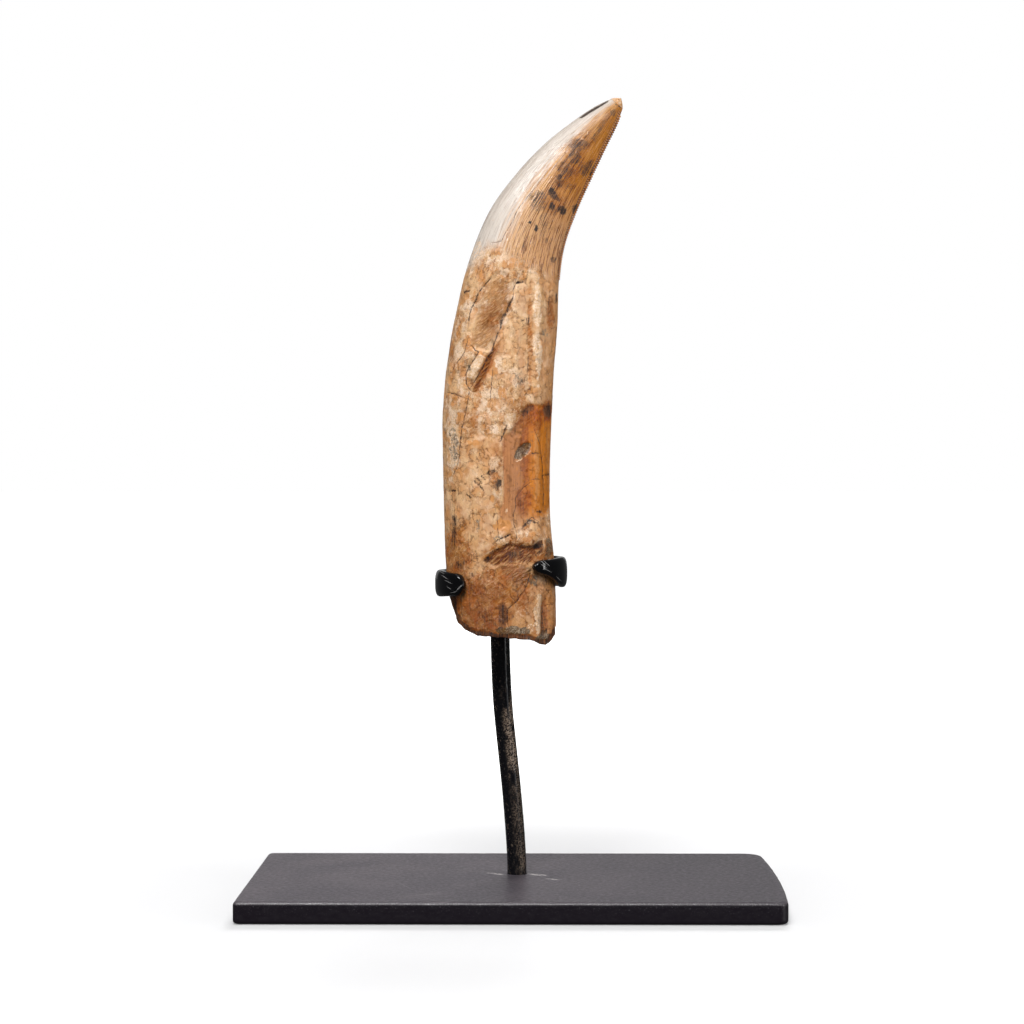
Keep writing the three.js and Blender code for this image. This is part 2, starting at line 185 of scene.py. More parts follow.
# Cracks of the labial face in the photograph's pixels: points, half-width in pixels and depth in millimetres
CRACKS = [
    {"name": "main", "half": 1.2, "depth": 0.55, "points": [
        (515.8, 284.6), (514.2, 289), (513.3, 294.7), (512.5, 299.5), (509.9, 306), (507, 312), (503.7, 316),
        (501.6, 318), (501.3, 324), (500.3, 329), (497, 335), (496, 338.7), (493.2, 344), (491.2, 351),
        (487.4, 357), (483.6, 364.5), (479.8, 371), (475, 380), (471, 385.6)]},
    {"name": "main_wide", "half": 2.1, "depth": 0.3, "points": [
        (511.5, 301), (509.3, 307), (506, 312.5), (502.8, 317), (501, 321.5), (500.6, 327)]},
    {"name": "left", "half": 0.75, "depth": 0.3, "points": [
        (489.8, 278.4), (483.6, 284.6), (479.8, 290.4), (475.9, 296.6), (473.5, 302.3), (470.2, 310),
        (469.7, 315.7), (468.8, 322.4)]},
    {"name": "slab_left", "half": 0.7, "depth": 0.3, "points": [
        (466.8, 340.6), (465.9, 348.3), (462.5, 354), (457.8, 360.7), (453, 367.4), (451.5, 371.7)]},
    {"name": "slab", "half": 0.85, "depth": 0.4, "points": [
        (471, 346), (475, 350), (478.8, 351.6), (475.9, 356), (469, 365.5), (465.4, 375), (465.4, 383.7),
        (468.8, 388.4), (471, 391)]},
    {"name": "cross", "half": 0.6, "depth": 0.25, "points": [
        (448.2, 392.3), (455.8, 394.7), (463.5, 397.5), (467.8, 399.4)]},
    {"name": "long", "half": 0.7, "depth": 0.3, "points": [
        (469, 391), (466.3, 407.6), (464.2, 418), (461.6, 429.7), (460.5, 440), (459, 454), (457.4, 464.5),
        (453.7, 473.4)]},
    {"name": "middle", "half": 0.5, "depth": 0.14, "points": [
        (493, 366), (491.7, 380), (491.2, 387.5), (490.3, 393), (490, 404)]},
    {"name": "amber", "half": 0.6, "depth": 0.16, "points": [
        (535.3, 429.7), (538.4, 437), (541, 445.5), (542, 454), (543.2, 464.5), (543.7, 474), (544.2, 484.5),
        (544.7, 495), (544.2, 506.6)]},
    {"name": "amber_branch", "half": 0.5, "depth": 0.12, "points": [(532.6, 479), (541.6, 478.7)]},
    {"name": "amber_low", "half": 0.65, "depth": 0.18, "points": [
        (531.6, 481.8), (524.7, 487), (519.5, 493.4), (516.3, 499), (516.3, 506.6), (514.2, 513),
        (514.2, 521.3),
        (516.3, 531.8), (516.3, 539)]},
    {"name": "short", "half": 0.5, "depth": 0.12, "points": [(497.4, 514), (497.7, 526), (497.9, 537)]},
    {"name": "arc", "half": 0.6, "depth": 0.15, "points": [(524.7, 524.5), (532, 517), (538.4, 521.3)]},
    {"name": "root", "half": 0.85, "depth": 0.28, "points": [
        (530.4, 571.5), (529.6, 578), (527, 584), (525.4, 589), (521.3, 593.8), (516.3, 601.3), (512, 605.5),
        (508, 608.8), (508, 613), (507.6, 619.6), (508.4, 626.2)]},
    {"name": "root_branch", "half": 0.55, "depth": 0.16, "points": [
        (509.7, 591.4), (510.5, 596.3), (514.6, 600.5)]},
    {"name": "root_left", "half": 0.55, "depth": 0.18, "points": [
        (461.4, 593.8), (461.6, 606), (461.7, 617)]},
    {"name": "crown", "half": 0.5, "depth": 0.06, "points": [
        (539, 182), (528, 196), (518, 209), (512.5, 221), (503, 237), (501, 241.6), (492, 242)]},
]


def smooth(value, low, high):
    t = np.clip((value - low) / (high - low), 0.0, 1.0)
    return t * t * (3.0 - 2.0 * t)


def between(value, start, end, fade):
    return smooth(value, start - fade, start + fade) * (1.0 - smooth(value, end - fade, end + fade))


def bell(distance, half):
    return np.exp(-(distance / half) ** 2)


def spline(values, u):
    """Uniform Catmull-Rom value at u along rows of numbers."""
    values = np.asarray(values, float)
    last = len(values) - 1
    place = np.clip(u, 0.0, 1.0) * last
    i = np.minimum(place.astype(int), last - 1)
    t = place - i
    if values.ndim > 1:
        t = t[..., None]
        first, final = (i == 0)[..., None], (i == last - 1)[..., None]
    else:
        first, final = i == 0, i == last - 1
    b = values[i]
    c = values[i + 1]
    a = np.where(first, 2 * b - c, values[np.maximum(i - 1, 0)])
    d = np.where(final, 2 * c - b, values[np.minimum(i + 2, last)])
    square = 2 * a - 5 * b + 4 * c - d
    cube = 3 * b - a - 3 * c + d
    return (2 * b + (c - a) * t + square * t ** 2 + cube * t ** 3) / 2


def value_noise(points, scale, seed):
    """Smooth noise from -1 to 1 at points, with features about scale wide along each axis."""
    p = points / np.asarray(scale, float) + seed * 17.31
    cell = np.floor(p)
    f = p - cell
    f = f * f * (3.0 - 2.0 * f)
    cell = cell.astype(np.int64)
    total = np.zeros(len(points))
    for corner in range(8):
        step = np.array((corner & 1, corner >> 1 & 1, corner >> 2 & 1))
        n = cell + step
        h = n[:, 0] * 374761393 + n[:, 1] * 668265263 + n[:, 2] * 2147483647 + seed * 1274126177
        h = (h ^ (h >> 13)) * 1274126177
        h = (h ^ (h >> 16)) & 0xFFFFFF
        weight = np.prod(np.where(step == 1, f, 1.0 - f), axis=1)
        total += weight * (h / 0xFFFFFF)
    return total * 2.0 - 1.0


def fractal(points, scale, seed, octaves=3):
    total = np.zeros(len(points))
    share, size = 1.0, np.asarray(scale, float)
    for k in range(octaves):
        total += share * value_noise(points, size, seed + k)
        share *= 0.5
        size = size * 0.5
    return total / (2.0 - 0.5 ** (octaves - 1))


def camera_axes():
    tilt, yaw = math.radians(CAMERA_TILT), math.radians(CAMERA_YAW)
    forward = np.array((-math.sin(yaw) * math.cos(tilt), math.cos(yaw) * math.cos(tilt), -math.sin(tilt)))
    right = np.cross(forward, (0.0, 0.0, 1.0))
    right /= np.linalg.norm(right)
    return right, np.cross(right, forward), forward


def photo_place(points):
    """Where points show in the photograph, in its pixels."""
    right, up, forward = camera_axes()
    away = points - CAMERA_AT
    depth = away @ forward
    half = IMAGE / 2
    across = FOCAL_PX * (away @ right) / depth
    above = FOCAL_PX * (away @ up) / depth
    return np.stack([half + across, half - above], axis=-1)


def line_distance(places, line, closed=False):
    """Distance from places to a line, positive on its right, and the share of the way along it."""
    line = np.asarray(line, float)
    ends = np.roll(line, -1, axis=0) if closed else line[1:]
    starts = line if closed else line[:-1]
    lengths = np.linalg.norm(ends - starts, axis=1)
    before = np.concatenate([[0.0], np.cumsum(lengths)])
    best = np.full(len(places), np.inf)
    sign = np.ones(len(places))
    along = np.zeros(len(places))
    for k, (a, b) in enumerate(zip(starts, ends)):
        leg = b - a
        t = np.clip((places - a) @ leg / (leg @ leg), 0.0, 1.0)
        gap = places - a - t[:, None] * leg
        distance = np.hypot(gap[:, 0], gap[:, 1])
        nearer = distance < best
        best = np.where(nearer, distance, best)
        cross = leg[0] * (places[:, 1] - a[1]) - leg[1] * (places[:, 0] - a[0])
        sign = np.where(nearer, np.where(cross >= 0, -1.0, 1.0), sign)
        along = np.where(nearer, (before[k] + t * lengths[k]) / before[-1], along)
    return best * sign, along


def area_distance(places, outline):
    """Distance from places to a closed outline, negative inside it."""
    outline = np.asarray(outline, float)
    distance, _ = line_distance(places, outline, closed=True)
    inside = np.zeros(len(places), bool)
    x, y = places[:, 0], places[:, 1]
    for (ax, ay), (bx, by) in zip(outline, np.roll(outline, -1, axis=0)):
        if ay == by:
            continue
        crosses = (ay > y) != (by > y)
        inside ^= crosses & (x < ax + (y - ay) * (bx - ax) / (by - ay))
    return np.where(inside, -np.abs(distance), np.abs(distance))


def blob(places, centre, half_long, half_short, angle):
    """1 on the edge of an ellipse and 0 at its centre. Its angle is above the x axis, in degrees."""
    turn = math.radians(angle)
    gap = places - np.asarray(centre, float)
    along = gap[:, 0] * math.cos(turn) - gap[:, 1] * math.sin(turn)
    across = gap[:, 0] * math.sin(turn) + gap[:, 1] * math.cos(turn)
    return np.hypot(along / half_long, across / half_short)


def flute(row, x, z):
    centre, height, width, start, end = row
    return height * bell(x - centre, width) * between(z, start, end, FLUTE_FADE)


def section_half(across, sharp):
    def bulge(v):
        return np.maximum(1 - v, 0) ** sharp * np.maximum(1 + v, 0) ** ROUND
    return bulge(across) / bulge((ROUND - sharp) / (ROUND + sharp))


def tooth_point(u, degrees):
    """Points of the tooth's smooth surface, for arrays of u and of angles round the section of one shape."""
    s = spline(STATIONS, u)
    angle = np.radians(degrees)
    share = (1 + np.cos(angle)) / 2
    x = s[..., 0] + (s[..., 2] - s[..., 0]) * share
    z = s[..., 1] + (s[..., 3] - s[..., 1]) * share
    lingual = np.sin(angle) >= 0
    half_share = section_half(np.cos(angle), s[..., 6])
    half = s[..., 4] / 2 * half_share * np.where(lingual, LINGUAL_SWELL, LABIAL_SWELL)
    relief = np.where(lingual, flute(LINGUAL_GROOVE, x, z), sum(flute(row, x, z) for row in FLUTES))
    keel = MESIAL_CARINA
    rise = keel["height"] * bell(degrees - keel["angle"], keel["width"])
    rise = rise * between(u, keel["from"], keel["to"], keel["fade"] / 2)
    depth = half + relief * np.minimum(1, 2 * half_share) + rise
    return np.stack([x, s[..., 5] + np.where(lingual, depth, -depth), z], axis=-1)


def mesh_of(name, points, faces, smooth_faces=True):
    """A mesh object from points in millimetres."""
    mesh = bpy.data.meshes.new(name)
    mesh.from_pydata([tuple(p) for p in np.asarray(points) * MM], [], [tuple(f) for f in faces])
    mesh.update()
    mesh.validate()
    if smooth_faces:
        mesh.shade_smooth()
    piece = bpy.data.objects.new(name, mesh)
    bpy.context.scene.collection.objects.link(piece)
    return piece


def store(piece, name, values):
    """Keeps one number, or three, for each point of the mesh."""
    values = np.asarray(values, np.float32)
    kind = "FLOAT" if values.ndim == 1 else "FLOAT_VECTOR"
    field = "value" if values.ndim == 1 else "vector"
    layer = piece.data.attributes.new(name, kind, "POINT")
    layer.data.foreach_set(field, values.ravel())


def tube_faces(rows, columns, first=0, closed_rows=False):
    """Quads of a grid whose columns close on themselves."""
    r = np.arange(rows if closed_rows else rows - 1)[:, None]
    c = np.arange(columns)[None, :]
    n = (c + 1) % columns
    up = (r + 1) % rows
    quads = np.stack([r * columns + c, r * columns + n, up * columns + n, up * columns + c], axis=-1)
    return (quads.reshape(-1, 4) + first).tolist()


def fan_faces(middle, ring, outward):
    """Triangles from one point to a ring of points."""
    following = ring[1:] + ring[:1]
    return [(middle, a, b) if outward else (middle, b, a) for a, b in zip(ring, following)]


def column_angles():
    """Angles round the section, evenly spaced along an average one, from the distal edge over the back."""
    def half(count):
        angle = np.linspace(0.0, math.pi, 2000)
        wide, deep = AVERAGE_SECTION
        steps = np.hypot(wide * np.diff(np.cos(angle)), deep * np.diff(np.sin(angle)))
        length = np.concatenate([[0.0], np.cumsum(steps)])
        return np.degrees(np.interp(np.linspace(0.0, length[-1], count, endpoint=False), length, angle))
    return np.concatenate([half(LINGUAL_COLUMNS), 180.0 + half(LABIAL_COLUMNS)])


def break_level(x):
    return np.interp(x, BREAK_EDGE[:, 0], BREAK_EDGE[:, 1])


def break_start(angles):
    """For each column of the tooth, the u at which the root is broken off."""
    low = np.zeros(len(angles))
    high = np.full(len(angles), 0.5)
    for _ in range(30):
        middle = (low + high) / 2
        point = tooth_point(middle, angles)
        below = point[:, 2] < break_level(point[:, 0])
        low = np.where(below, middle, low)
        high = np.where(below, high, middle)
    edge = tooth_point(low, angles)
    ragged = value_noise(edge, 1.6, 5) + 0.6 * value_noise(edge, 0.6, 6)
    return low + np.maximum(ragged, -0.2) * 0.0014


def grid_normals(grid):
    """Outward normals of a grid of points whose columns close."""
    along = np.gradient(grid, axis=0)
    around = (np.roll(grid, -1, axis=1) - np.roll(grid, 1, axis=1)) / 2
    normal = np.cross(around, along)
    return normal / np.maximum(np.linalg.norm(normal, axis=-1, keepdims=True), 1e-9)


# Areas of the labial face, in the photograph's pixels
CROWN_BASE = [(430, 285), (472, 262), (487, 247), (500, 243), (512, 257), (526, 262), (545, 274), (575, 277)]
AMBER_AREA = [
    (516.3, 420.3), (521.6, 411.8), (526.8, 404.5), (535.3, 402.9), (543.7, 403.4), (549, 406), (558, 409),
    (558, 512), (541, 517), (533, 521), (528, 531), (514, 533), (497, 534), (497.4, 519.2), (502.6, 500.3),
    (503.7, 489.7), (503.2, 474), (502.6, 458.2), (502.6, 442.4), (503.7, 435), (510, 430.8)]
SPALL_AREA = [
    (516, 281), (513.5, 293.7), (511, 304.2), (506.1, 313.8), (501.5, 320), (499.5, 330), (495.1, 341.6),
    (489, 353), (479, 350), (466, 347), (468.8, 326), (470.7, 311), (473.5, 302.3), (481.7, 286), (488, 279),
    (497, 272), (508, 272)]
TROUGH_AREA = [
    (489, 352), (487.4, 357), (484.6, 366), (478.8, 374), (474, 383), (470, 392), (476, 392), (482, 380),
    (490, 368), (495, 352), (497, 342)]
SLABS = [
    {"outline": [(472.1, 346.3), (477.8, 351.1), (475, 355.9), (468.3, 364.5), (461.6, 373.1), (453, 370.3),
                 (456.8, 362.6), (463.5, 354), (467.3, 348.3)], "rise": 0.2, "pale": 0.35},
    {"outline": [
        (479.8, 353.5), (486.5, 356.9), (483.6, 364.5), (477.8, 371.2), (472.1, 378.9), (466.8, 377.9),
                 (465.9, 373.1), (470.2, 365.5), (475, 358.8)], "rise": 0.3, "pale": 0.75},
]
LEDGE_AREA = [
    (482, 560.5), (489, 552.9), (497.4, 548.7), (505.8, 544.5), (511, 542.9), (518.4, 544.5), (524.7, 546.6),
    (533.2, 545.5), (541.6, 540.3), (541, 551), (533, 560), (529, 566), (522.9, 563.2), (514.6, 564),
    (508, 565.7), (501.4, 563.2), (494.7, 567.3), (488, 562.5)]
LOW_BROWN_AREA = [
    (486, 558), (494.7, 560), (508, 560), (522.9, 558), (531, 562), (529.6, 578), (522.9, 588), (514, 584),
    (505, 580), (498, 572)]
FLAKE_AREA = [
    (516, 535), (524, 531.5), (534, 531), (540, 535), (538, 541), (530, 545), (522, 544.5), (517, 541)]
RINGS_ON_CROWN = [
    ((576.5, 132), 4.6, 3.2, 30), ((583.5, 134.5), 3.2, 2.4, 0),
    ((518, 246), 5.0, 3.4, 30), ((527, 240), 4.0, 3.0, 0)]
# Levels or places between which the amber area, the brown of the spall, the ledge's edge and the pores fade
AMBER_FADE = (505, 533)
SPALL_FADE = (458, 496)
LEDGE_SPAN = (484, 545)
LEDGE_FOOT = 561
PORE_LEVELS = (500, 560)
CHIP = {"ellipse": ((523.2, 450.8), 11.5, 5.0, 43), "depth": 0.5}
LUMP = {"ellipse": ((547, 549), 8.0, 10.0, 0), "rise": 0.35}
# Ridges and grooves up the face: place across it, half-width, height in millimetres, top, bottom and fade
UPRIGHT_RELIEF = [
    (537.5, 3.2, 0.55, 592.5, 900, 7.5),
    (544.0, 3.4, -0.75, 598, 900, 8),
    (502.0, 3.0, -0.3, 594, 626, 4),
    (538.0, 3.6, 0.22, 285, 400, 12),
    (528.0, 3.0, -0.18, 290, 400, 12),
]
WEAR_FACET = [(579, 118), (590, 110), (608, 100.5), (608.5, 101.7), (594.5, 110), (582, 117.8)]
# Dark stains: centre, half-length, half-width, angle and strength
STAINS = [
    ((620.5, 106), 1.3, 2.4, 60, 0.9), ((616, 104.5), 1, 1.2, 0, 0.7), ((550.5, 191), 4.6, 3.6, 20, 0.8),
    ((556, 197), 8, 3.8, -50, 0.66), ((561.5, 208.5), 4.4, 4, 0, 0.72), ((553, 206.5), 4, 5, 0, 0.7),
    ((538, 200), 8, 9, 20, 0.42), ((559.5, 176), 3.2, 2.8, 30, 0.7), ((578, 146), 11, 7, 50, 0.55),
    ((574, 158), 9, 7, 60, 0.52), ((566, 168), 12, 8, 60, 0.46), ((601, 128), 10, 4, 60, 0.46),
    ((592.7, 174), 2.8, 3.4, 60, 0.95), ((588, 168), 7, 6, 60, 0.5), ((575.5, 208), 4, 3.2, 60, 0.62),
    ((548, 228), 8, 14, 0, 0.36), ((563.5, 184), 5, 9, 60, 0.42), ((614, 112), 4, 3.5, 70, 0.52),
    ((529.7, 222.4), 1.7, 1.6, 0, 1.3), ((536, 227.8), 1.5, 3.6, 0, 1.25), ((518.2, 254.2), 4, 1, -10, 1.1),
    ((548, 159.5), 1, 1, 0, 0.9), ((552.7, 260), 3.4, 2.8, 0, 0.6), ((531, 408), 6, 4.5, 15, 0.75),
    ((525, 414), 4, 4, 40, 0.55), ((547.5, 412), 4.5, 8.5, 0, 0.5), ((512, 432), 7, 4, 60, 0.35),
    ((454.5, 530), 3.5, 22, 0, 0.55), ((539.5, 511.8), 3.2, 1.2, 0, 0.9), ((522, 320.5), 2.2, 1.4, 0, 0.6),
    ((527.6, 322), 2, 5, 0, 0.55), ((529, 366), 3, 8, 0, 0.3), ((524, 380), 6, 3, 40, 0.35),
    ((492, 472), 4, 2.2, 20, 0.6), ((497, 485), 4.5, 7, -10, 0.5), ((502.3, 612), 2, 11, 3, 0.45),
    ((478, 610), 26, 22, 0, 0.2), ((512, 590), 14, 16, 0, 0.2), ((516, 553), 9, 6.5, 0, 0.4),
    ((538, 546), 4.5, 3.5, 30, 0.8), ((487, 559.5), 4, 3, 20, 0.6), ((478, 556), 12, 4, 25, 0.3),
    ((458, 566), 10, 5, 0, 0.45), ((472, 574), 7, 3, -30, 0.5), ((441.5, 283), 4, 10, 10, 0.35),
    ((550.5, 302), 4, 10, 0, 0.35), ((556, 299), 1.6, 6, 0, 0.7), ((449, 345), 3.5, 18, 8, 0.3),
    ((544, 582), 4.5, 6, 0, 0.35), ((544.5, 618), 2.6, 16, 0, 0.45), ((486, 616), 7, 9, 30, 0.3),
]
# Paler marks in the same form. The rows at (537, 304) and (538, 355), along the ridge, are partly its colour
# and partly a painted highlight.
PALES = [
    ((537, 304), 4.4, 34, 0, 0.8), ((538, 355), 4.2, 36, 0, 0.7), ((545, 275.5), 9, 1, -6, 0.5),
    ((538.8, 610), 3.4, 24, -2, 1.3), ((503.2, 470), 0.9, 34, 0, 0.5), ((506.8, 511), 0.9, 5, 0, 0.9),
    ((466, 318), 4, 22, -8, 0.5), ((462, 352), 3, 12, 20, 0.6), ((510, 360), 9, 26, 0, 0.4),
    ((510, 417), 8, 5, 45, 0.7), ((505, 424), 5, 6, 0, 0.6), ((453.5, 434), 5, 34, 0, 0.8),
    ((480, 500), 14, 20, 0, 0.35), ((476, 252), 9, 14, 30, 0.5), ((550, 516), 6, 10, 0, 0.5),
    ((488, 604), 0.9, 14, 0, 0.6), ((522, 614), 9, 10, 10, 0.4), ((531, 628), 4, 6, 0, 0.5),
    ((490, 405), 8, 8, 0, 0.3), ((503, 540), 6, 2.5, 25, 0.4),
]
# Smooth darkening, in the same form. The row at (486, 366), along the trough, is painted shadow in that
# recess over its brown.
SHADES = [
    ((530, 416), 16, 15, 0, 0.6), ((490, 316), 11, 15, -25, 0.5), ((526, 450), 4.5, 48, 0, 0.6),
    ((530, 409), 7, 6.5, 0, 1.15), ((547.5, 411), 5.5, 12, 0, 1.3), ((524, 500), 8, 13, 0, 0.55),
    ((504, 455), 1.6, 24, 0, 0.4), ((478, 603), 34, 34, 0, 0.85), ((512, 585), 24, 24, 0, 0.7),
    ((458, 560), 13, 42, 0, 0.85), ((502.4, 612), 4.4, 14.5, 4, 2.2), ((486, 366), 26, 4, 64, 0.9),
    ((530, 330), 2.2, 56, 0, 0.5), ((545, 612), 3.2, 22, 0, 0.6), ((550.5, 315), 3.6, 16, 0, 0.7),
    ((571, 162), 34, 11, 62, 0.4), ((553, 200), 12, 12, 0, 0.4), ((604, 122), 12, 4, 62, 0.35),
    ((497, 470), 5, 28, 0, 0.35), ((548, 553), 6, 12, 0, 0.5), ((447, 330), 3.5, 40, 10, 0.35),
    ((473, 425), 9, 12, 0, 0.35), ((516, 552), 34, 12, 8, 0.7), ((540, 600), 14, 20, 0, 0.15),
]
ORANGES = [
    ((537.5, 462), 3.2, 46, 0, 0.6), ((548.5, 460), 3, 40, 0, 0.55), ((461, 416), 4.5, 5.5, 10, 0.9),
    ((473, 422), 6, 8, 0, 0.6), ((473, 443), 8, 4, 20, 0.9), ((492, 499), 3.5, 5, 0, 0.8),
    ((500, 300), 8, 14, 20, 0.4), ((504, 526), 8, 7, 0, 0.8), ((528, 538), 8, 5, 15, 0.8),
    ((488, 364), 4.5, 12, 35, 0.9), ((530, 385), 4, 12, 0, 0.5), ((505, 575), 7, 9, 0, 0.6),
    ((470, 600), 10, 16, 0, 0.6), ((552, 380), 3, 20, 0, 0.5), ((540, 557), 3, 3, 0, 0.9),
    ((549, 600), 4, 30, 0, 0.5), ((515, 262), 7, 5, 0, 0.5),
]
GREYS = [
    ((454, 441), 4.5, 20, 0, 0.5), ((478, 527), 2.6, 11, 0, 0.5), ((495, 538), 6, 3, 10, 0.5),
    ((514, 631), 12, 4.2, 0, 1.1), ((545, 639), 9.5, 5.5, -5, 1.2), ((498, 486), 3.6, 8, -8, 0.6),
    ((548, 548), 5, 9, 0, 0.7), ((534.5, 581), 4.5, 6, 0, 0.6), ((543, 334), 5, 7, 0, 0.5),
    ((518, 381), 5, 8, 0, 0.4), ((469, 367), 2.4, 4, 30, 0.8), ((529, 522), 5, 3, 40, 0.5),
]
# Crusty zones, where the root is flaked and mottled
CRUSTS = [
    ((488, 404), 52, 32, 0, 1), ((508, 262), 48, 20, 0, 0.9), ((457, 340), 15, 90, 10, 0.9),
    ((545, 550), 14, 16, 0, 1), ((490, 300), 26, 34, 20, 0.6), ((520, 538), 26, 9, 0, 0.8),
    ((458, 560), 14, 30, 0, 0.8), ((475, 600), 30, 34, 0, 0.7), ((452, 440), 9, 40, 0, 1),
    ((497, 480), 7, 24, 0, 0.7),
]
TICKS = [
    ((477, 478.5), (481.5, 483)), ((478.5, 484), (483.5, 490.5)), ((474.5, 481.5), (478, 485)),
    ((482, 476), (485.5, 480)), ((466, 494), (471, 499)), ((448.5, 491), (456, 490.5)),
    ((463.5, 292.8), (470, 290.2)), ((516, 283), (524, 282)), ((507, 425), (501, 441)), ((532, 453.6),
    (541, 453)),
    ((523, 528), (529, 520)), ((529, 520), (538, 523)), ((544, 476), (550, 474)), ((497, 541), (512, 533.5)),
]

BACK_CROWN_BASE = (262, 285)
BACK_AMBER = ((512, 470), 22, 56, 0)
BACK_SHADES = [
    ((495, 600), 48, 36, 0, 0.65), ((466, 500), 12, 50, 0, 0.35), ((565, 165), 30, 10, 62, 0.35),
    ((530, 400), 14, 60, 0, 0.3),
]

# Cracks of the lingual face, which the photograph doesn't show, in the same pixels seen through the tooth
BACK_CRACKS = [
    {"half": 0.9, "depth": 0.35, "points": [
        (505, 300), (509, 322), (506, 345), (511, 372), (508, 401), (513, 430)]},
    {"half": 0.6, "depth": 0.2, "points": [(470, 330), (473, 352), (468, 379), (472, 406), (469, 431)]},
    {"half": 0.6, "depth": 0.2, "points": [(538, 360), (534, 389), (537, 421), (533, 452), (536, 480)]},
    {"half": 0.7, "depth": 0.25, "points": [(455, 452), (468, 458), (483, 455), (497, 462)]},
    {"half": 0.6, "depth": 0.2, "points": [
        (486, 500), (490, 521), (485, 545), (491, 570), (487, 598), (490, 625)]},
    {"half": 0.5, "depth": 0.18, "points": [(522, 520), (519, 544), (524, 569), (520, 600)]},
]
BACK_SPALLS = [
    {"outline": [
        (520, 300), (532, 312), (536, 338), (530, 361), (519, 366), (513, 344), (514, 318)], "depth": 0.5},
    {"outline": [(462, 480), (476, 474), (486, 488), (484, 512), (471, 524), (460, 508)], "depth": 0.5},
]
BACK_STAINS = [
    ((560, 170), 7, 5, 50, 0.7), ((540, 210), 9, 5, 60, 0.6), ((500, 560), 12, 9, 0, 0.5),
    ((525, 335), 9, 22, 0, 0.5), ((473, 500), 9, 16, 0, 0.5), ((515, 250), 5, 3, 0, 0.6),
]


def soft_blobs(places, rows, ragged):
    """The strongest of the soft ellipses at each place, with their edges pushed about by noise."""
    total = np.zeros(len(places))
    for *ellipse, strength in rows:
        total = np.maximum(total, strength * (1 - smooth(blob(places, *ellipse) + 0.9 * ragged, 0.6, 1.3)))
    return total


def in_threes(count):
    """How many vectors of three hold that many numbers."""
    return math.ceil(count / 3)


def store_threes(piece, prefix, fields, others=0):
    """Keeps lists of numbers as vectors of three. The others are more points, far from any line."""
    length = len(fields[0]) + others
    for k in range(in_threes(len(fields))):
        three = np.full((length, 3), FAR)
        for i, field in enumerate(fields[3 * k:3 * k + 3]):
            three[:len(field), i] = np.clip(field, -FAR, FAR)
        store(piece, f"{prefix}_{k}", three)


def crack_fields(places, cracks):
    """Each crack's signed distance in half-widths, the least distance in pixels, and how deep all cut."""
    fields = []
    cuts = np.zeros(len(places))
    least = np.full(len(places), np.inf)
    for crack in cracks:
        distance, along = line_distance(places, crack["points"])
        taper = 0.45 + 0.55 * np.sin(math.pi * np.clip(0.08 + 0.84 * along, 0, 1))
        fields.append(distance / (crack["half"] * taper))
        cuts += crack["depth"] * bell(fields[-1], 1.5)
        least = np.minimum(least, np.abs(distance))
    return fields, least, cuts


def face_noise(points, seed):
    """Coarse noise, fine noise, and noise across and up, for one face of the tooth."""
    warp = np.stack([fractal(points, 2.2, seed + 31), fractal(points, 2.2, seed + 41)], axis=1)
    return fractal(points, 2.6, seed + 11), fractal(points, 0.9, seed + 21), warp


def within(places, outline, inner, outer):
    """1 inside an outline and 0 outside it, with a soft edge between two distances from it."""
    return 1 - smooth(area_distance(places, outline), inner, outer)


def labial_areas(places, coarse, fine, warp):
    """How much each place belongs to the areas of the labial face, and distances to some of their edges."""
    px, py = places.T
    ragged = places + 1.5 * warp
    base_level = np.interp(ragged[:, 0] + 3 * fine, *np.transpose(CROWN_BASE))
    amber = within(ragged + 0.8 * warp, AMBER_AREA, -2.4, 1.4)
    spall_gap = area_distance(places + 0.8 * warp, SPALL_AREA)
    ledge_gap = area_distance(places + warp, LEDGE_AREA)
    chip_at = blob(places + 1.3 * warp, *CHIP["ellipse"])
    chip_x, chip_y = CHIP["ellipse"][0]
    rings = [bell(blob(places + 2.4 * warp, *ellipse) - 1, 0.2) for ellipse in RINGS_ON_CROWN]
    ledge_open = smooth(LEDGE_FOOT - py, 0, 8)
    return {
        "crown": 1 - smooth(ragged[:, 1] + 6 * coarse, base_level - 9, base_level + 12),
        "amber": amber * (1 - smooth(py, *AMBER_FADE) * (0.6 + 0.6 * fine)),
        "spall": 1 - smooth(spall_gap, -2.5, 0.8),
        "spall_brown": (1 - smooth(spall_gap, -7.0, 0.0)) * smooth(px + 0.4 * (py - 300), *SPALL_FADE),
        "trough": within(ragged, TROUGH_AREA, -2.0, 1.0),
        "ledge": 1 - smooth(ledge_gap, -1.6, 0.6),
        "ledge_line": bell(ledge_gap + 0.3, 1.0) * ledge_open,
        # A thin pale line just past the ledge's upper edge: a painted highlight on the step.
        "ledge_painted_highlight": bell(ledge_gap - 1.4, 0.9) * between(px, *LEDGE_SPAN, 3) * ledge_open,
        "low_brown": within(ragged + 1.5 * warp, LOW_BROWN_AREA, -5.0, 4.0),
        "flake": within(ragged, FLAKE_AREA, -1.0, 0.8),
        "chip": 1 - smooth(chip_at, 0.85, 1.05),
        "chip_hollow": np.sqrt(np.clip(1.1 - chip_at ** 2, 0.1, 1)),
        "lip": bell(chip_at - 1.12, 0.13) * smooth(py - chip_y + 0.7 * (px - chip_x), 0, 9),
        "facet": within(places, WEAR_FACET, -0.6, 0.8),
        "ring": np.maximum.reduce(rings) * smooth(fine, -0.25, 0.25),
        "slabs": [within(places + 0.5 * warp, slab["outline"], -1.0, 0.5) for slab in SLABS],
    }


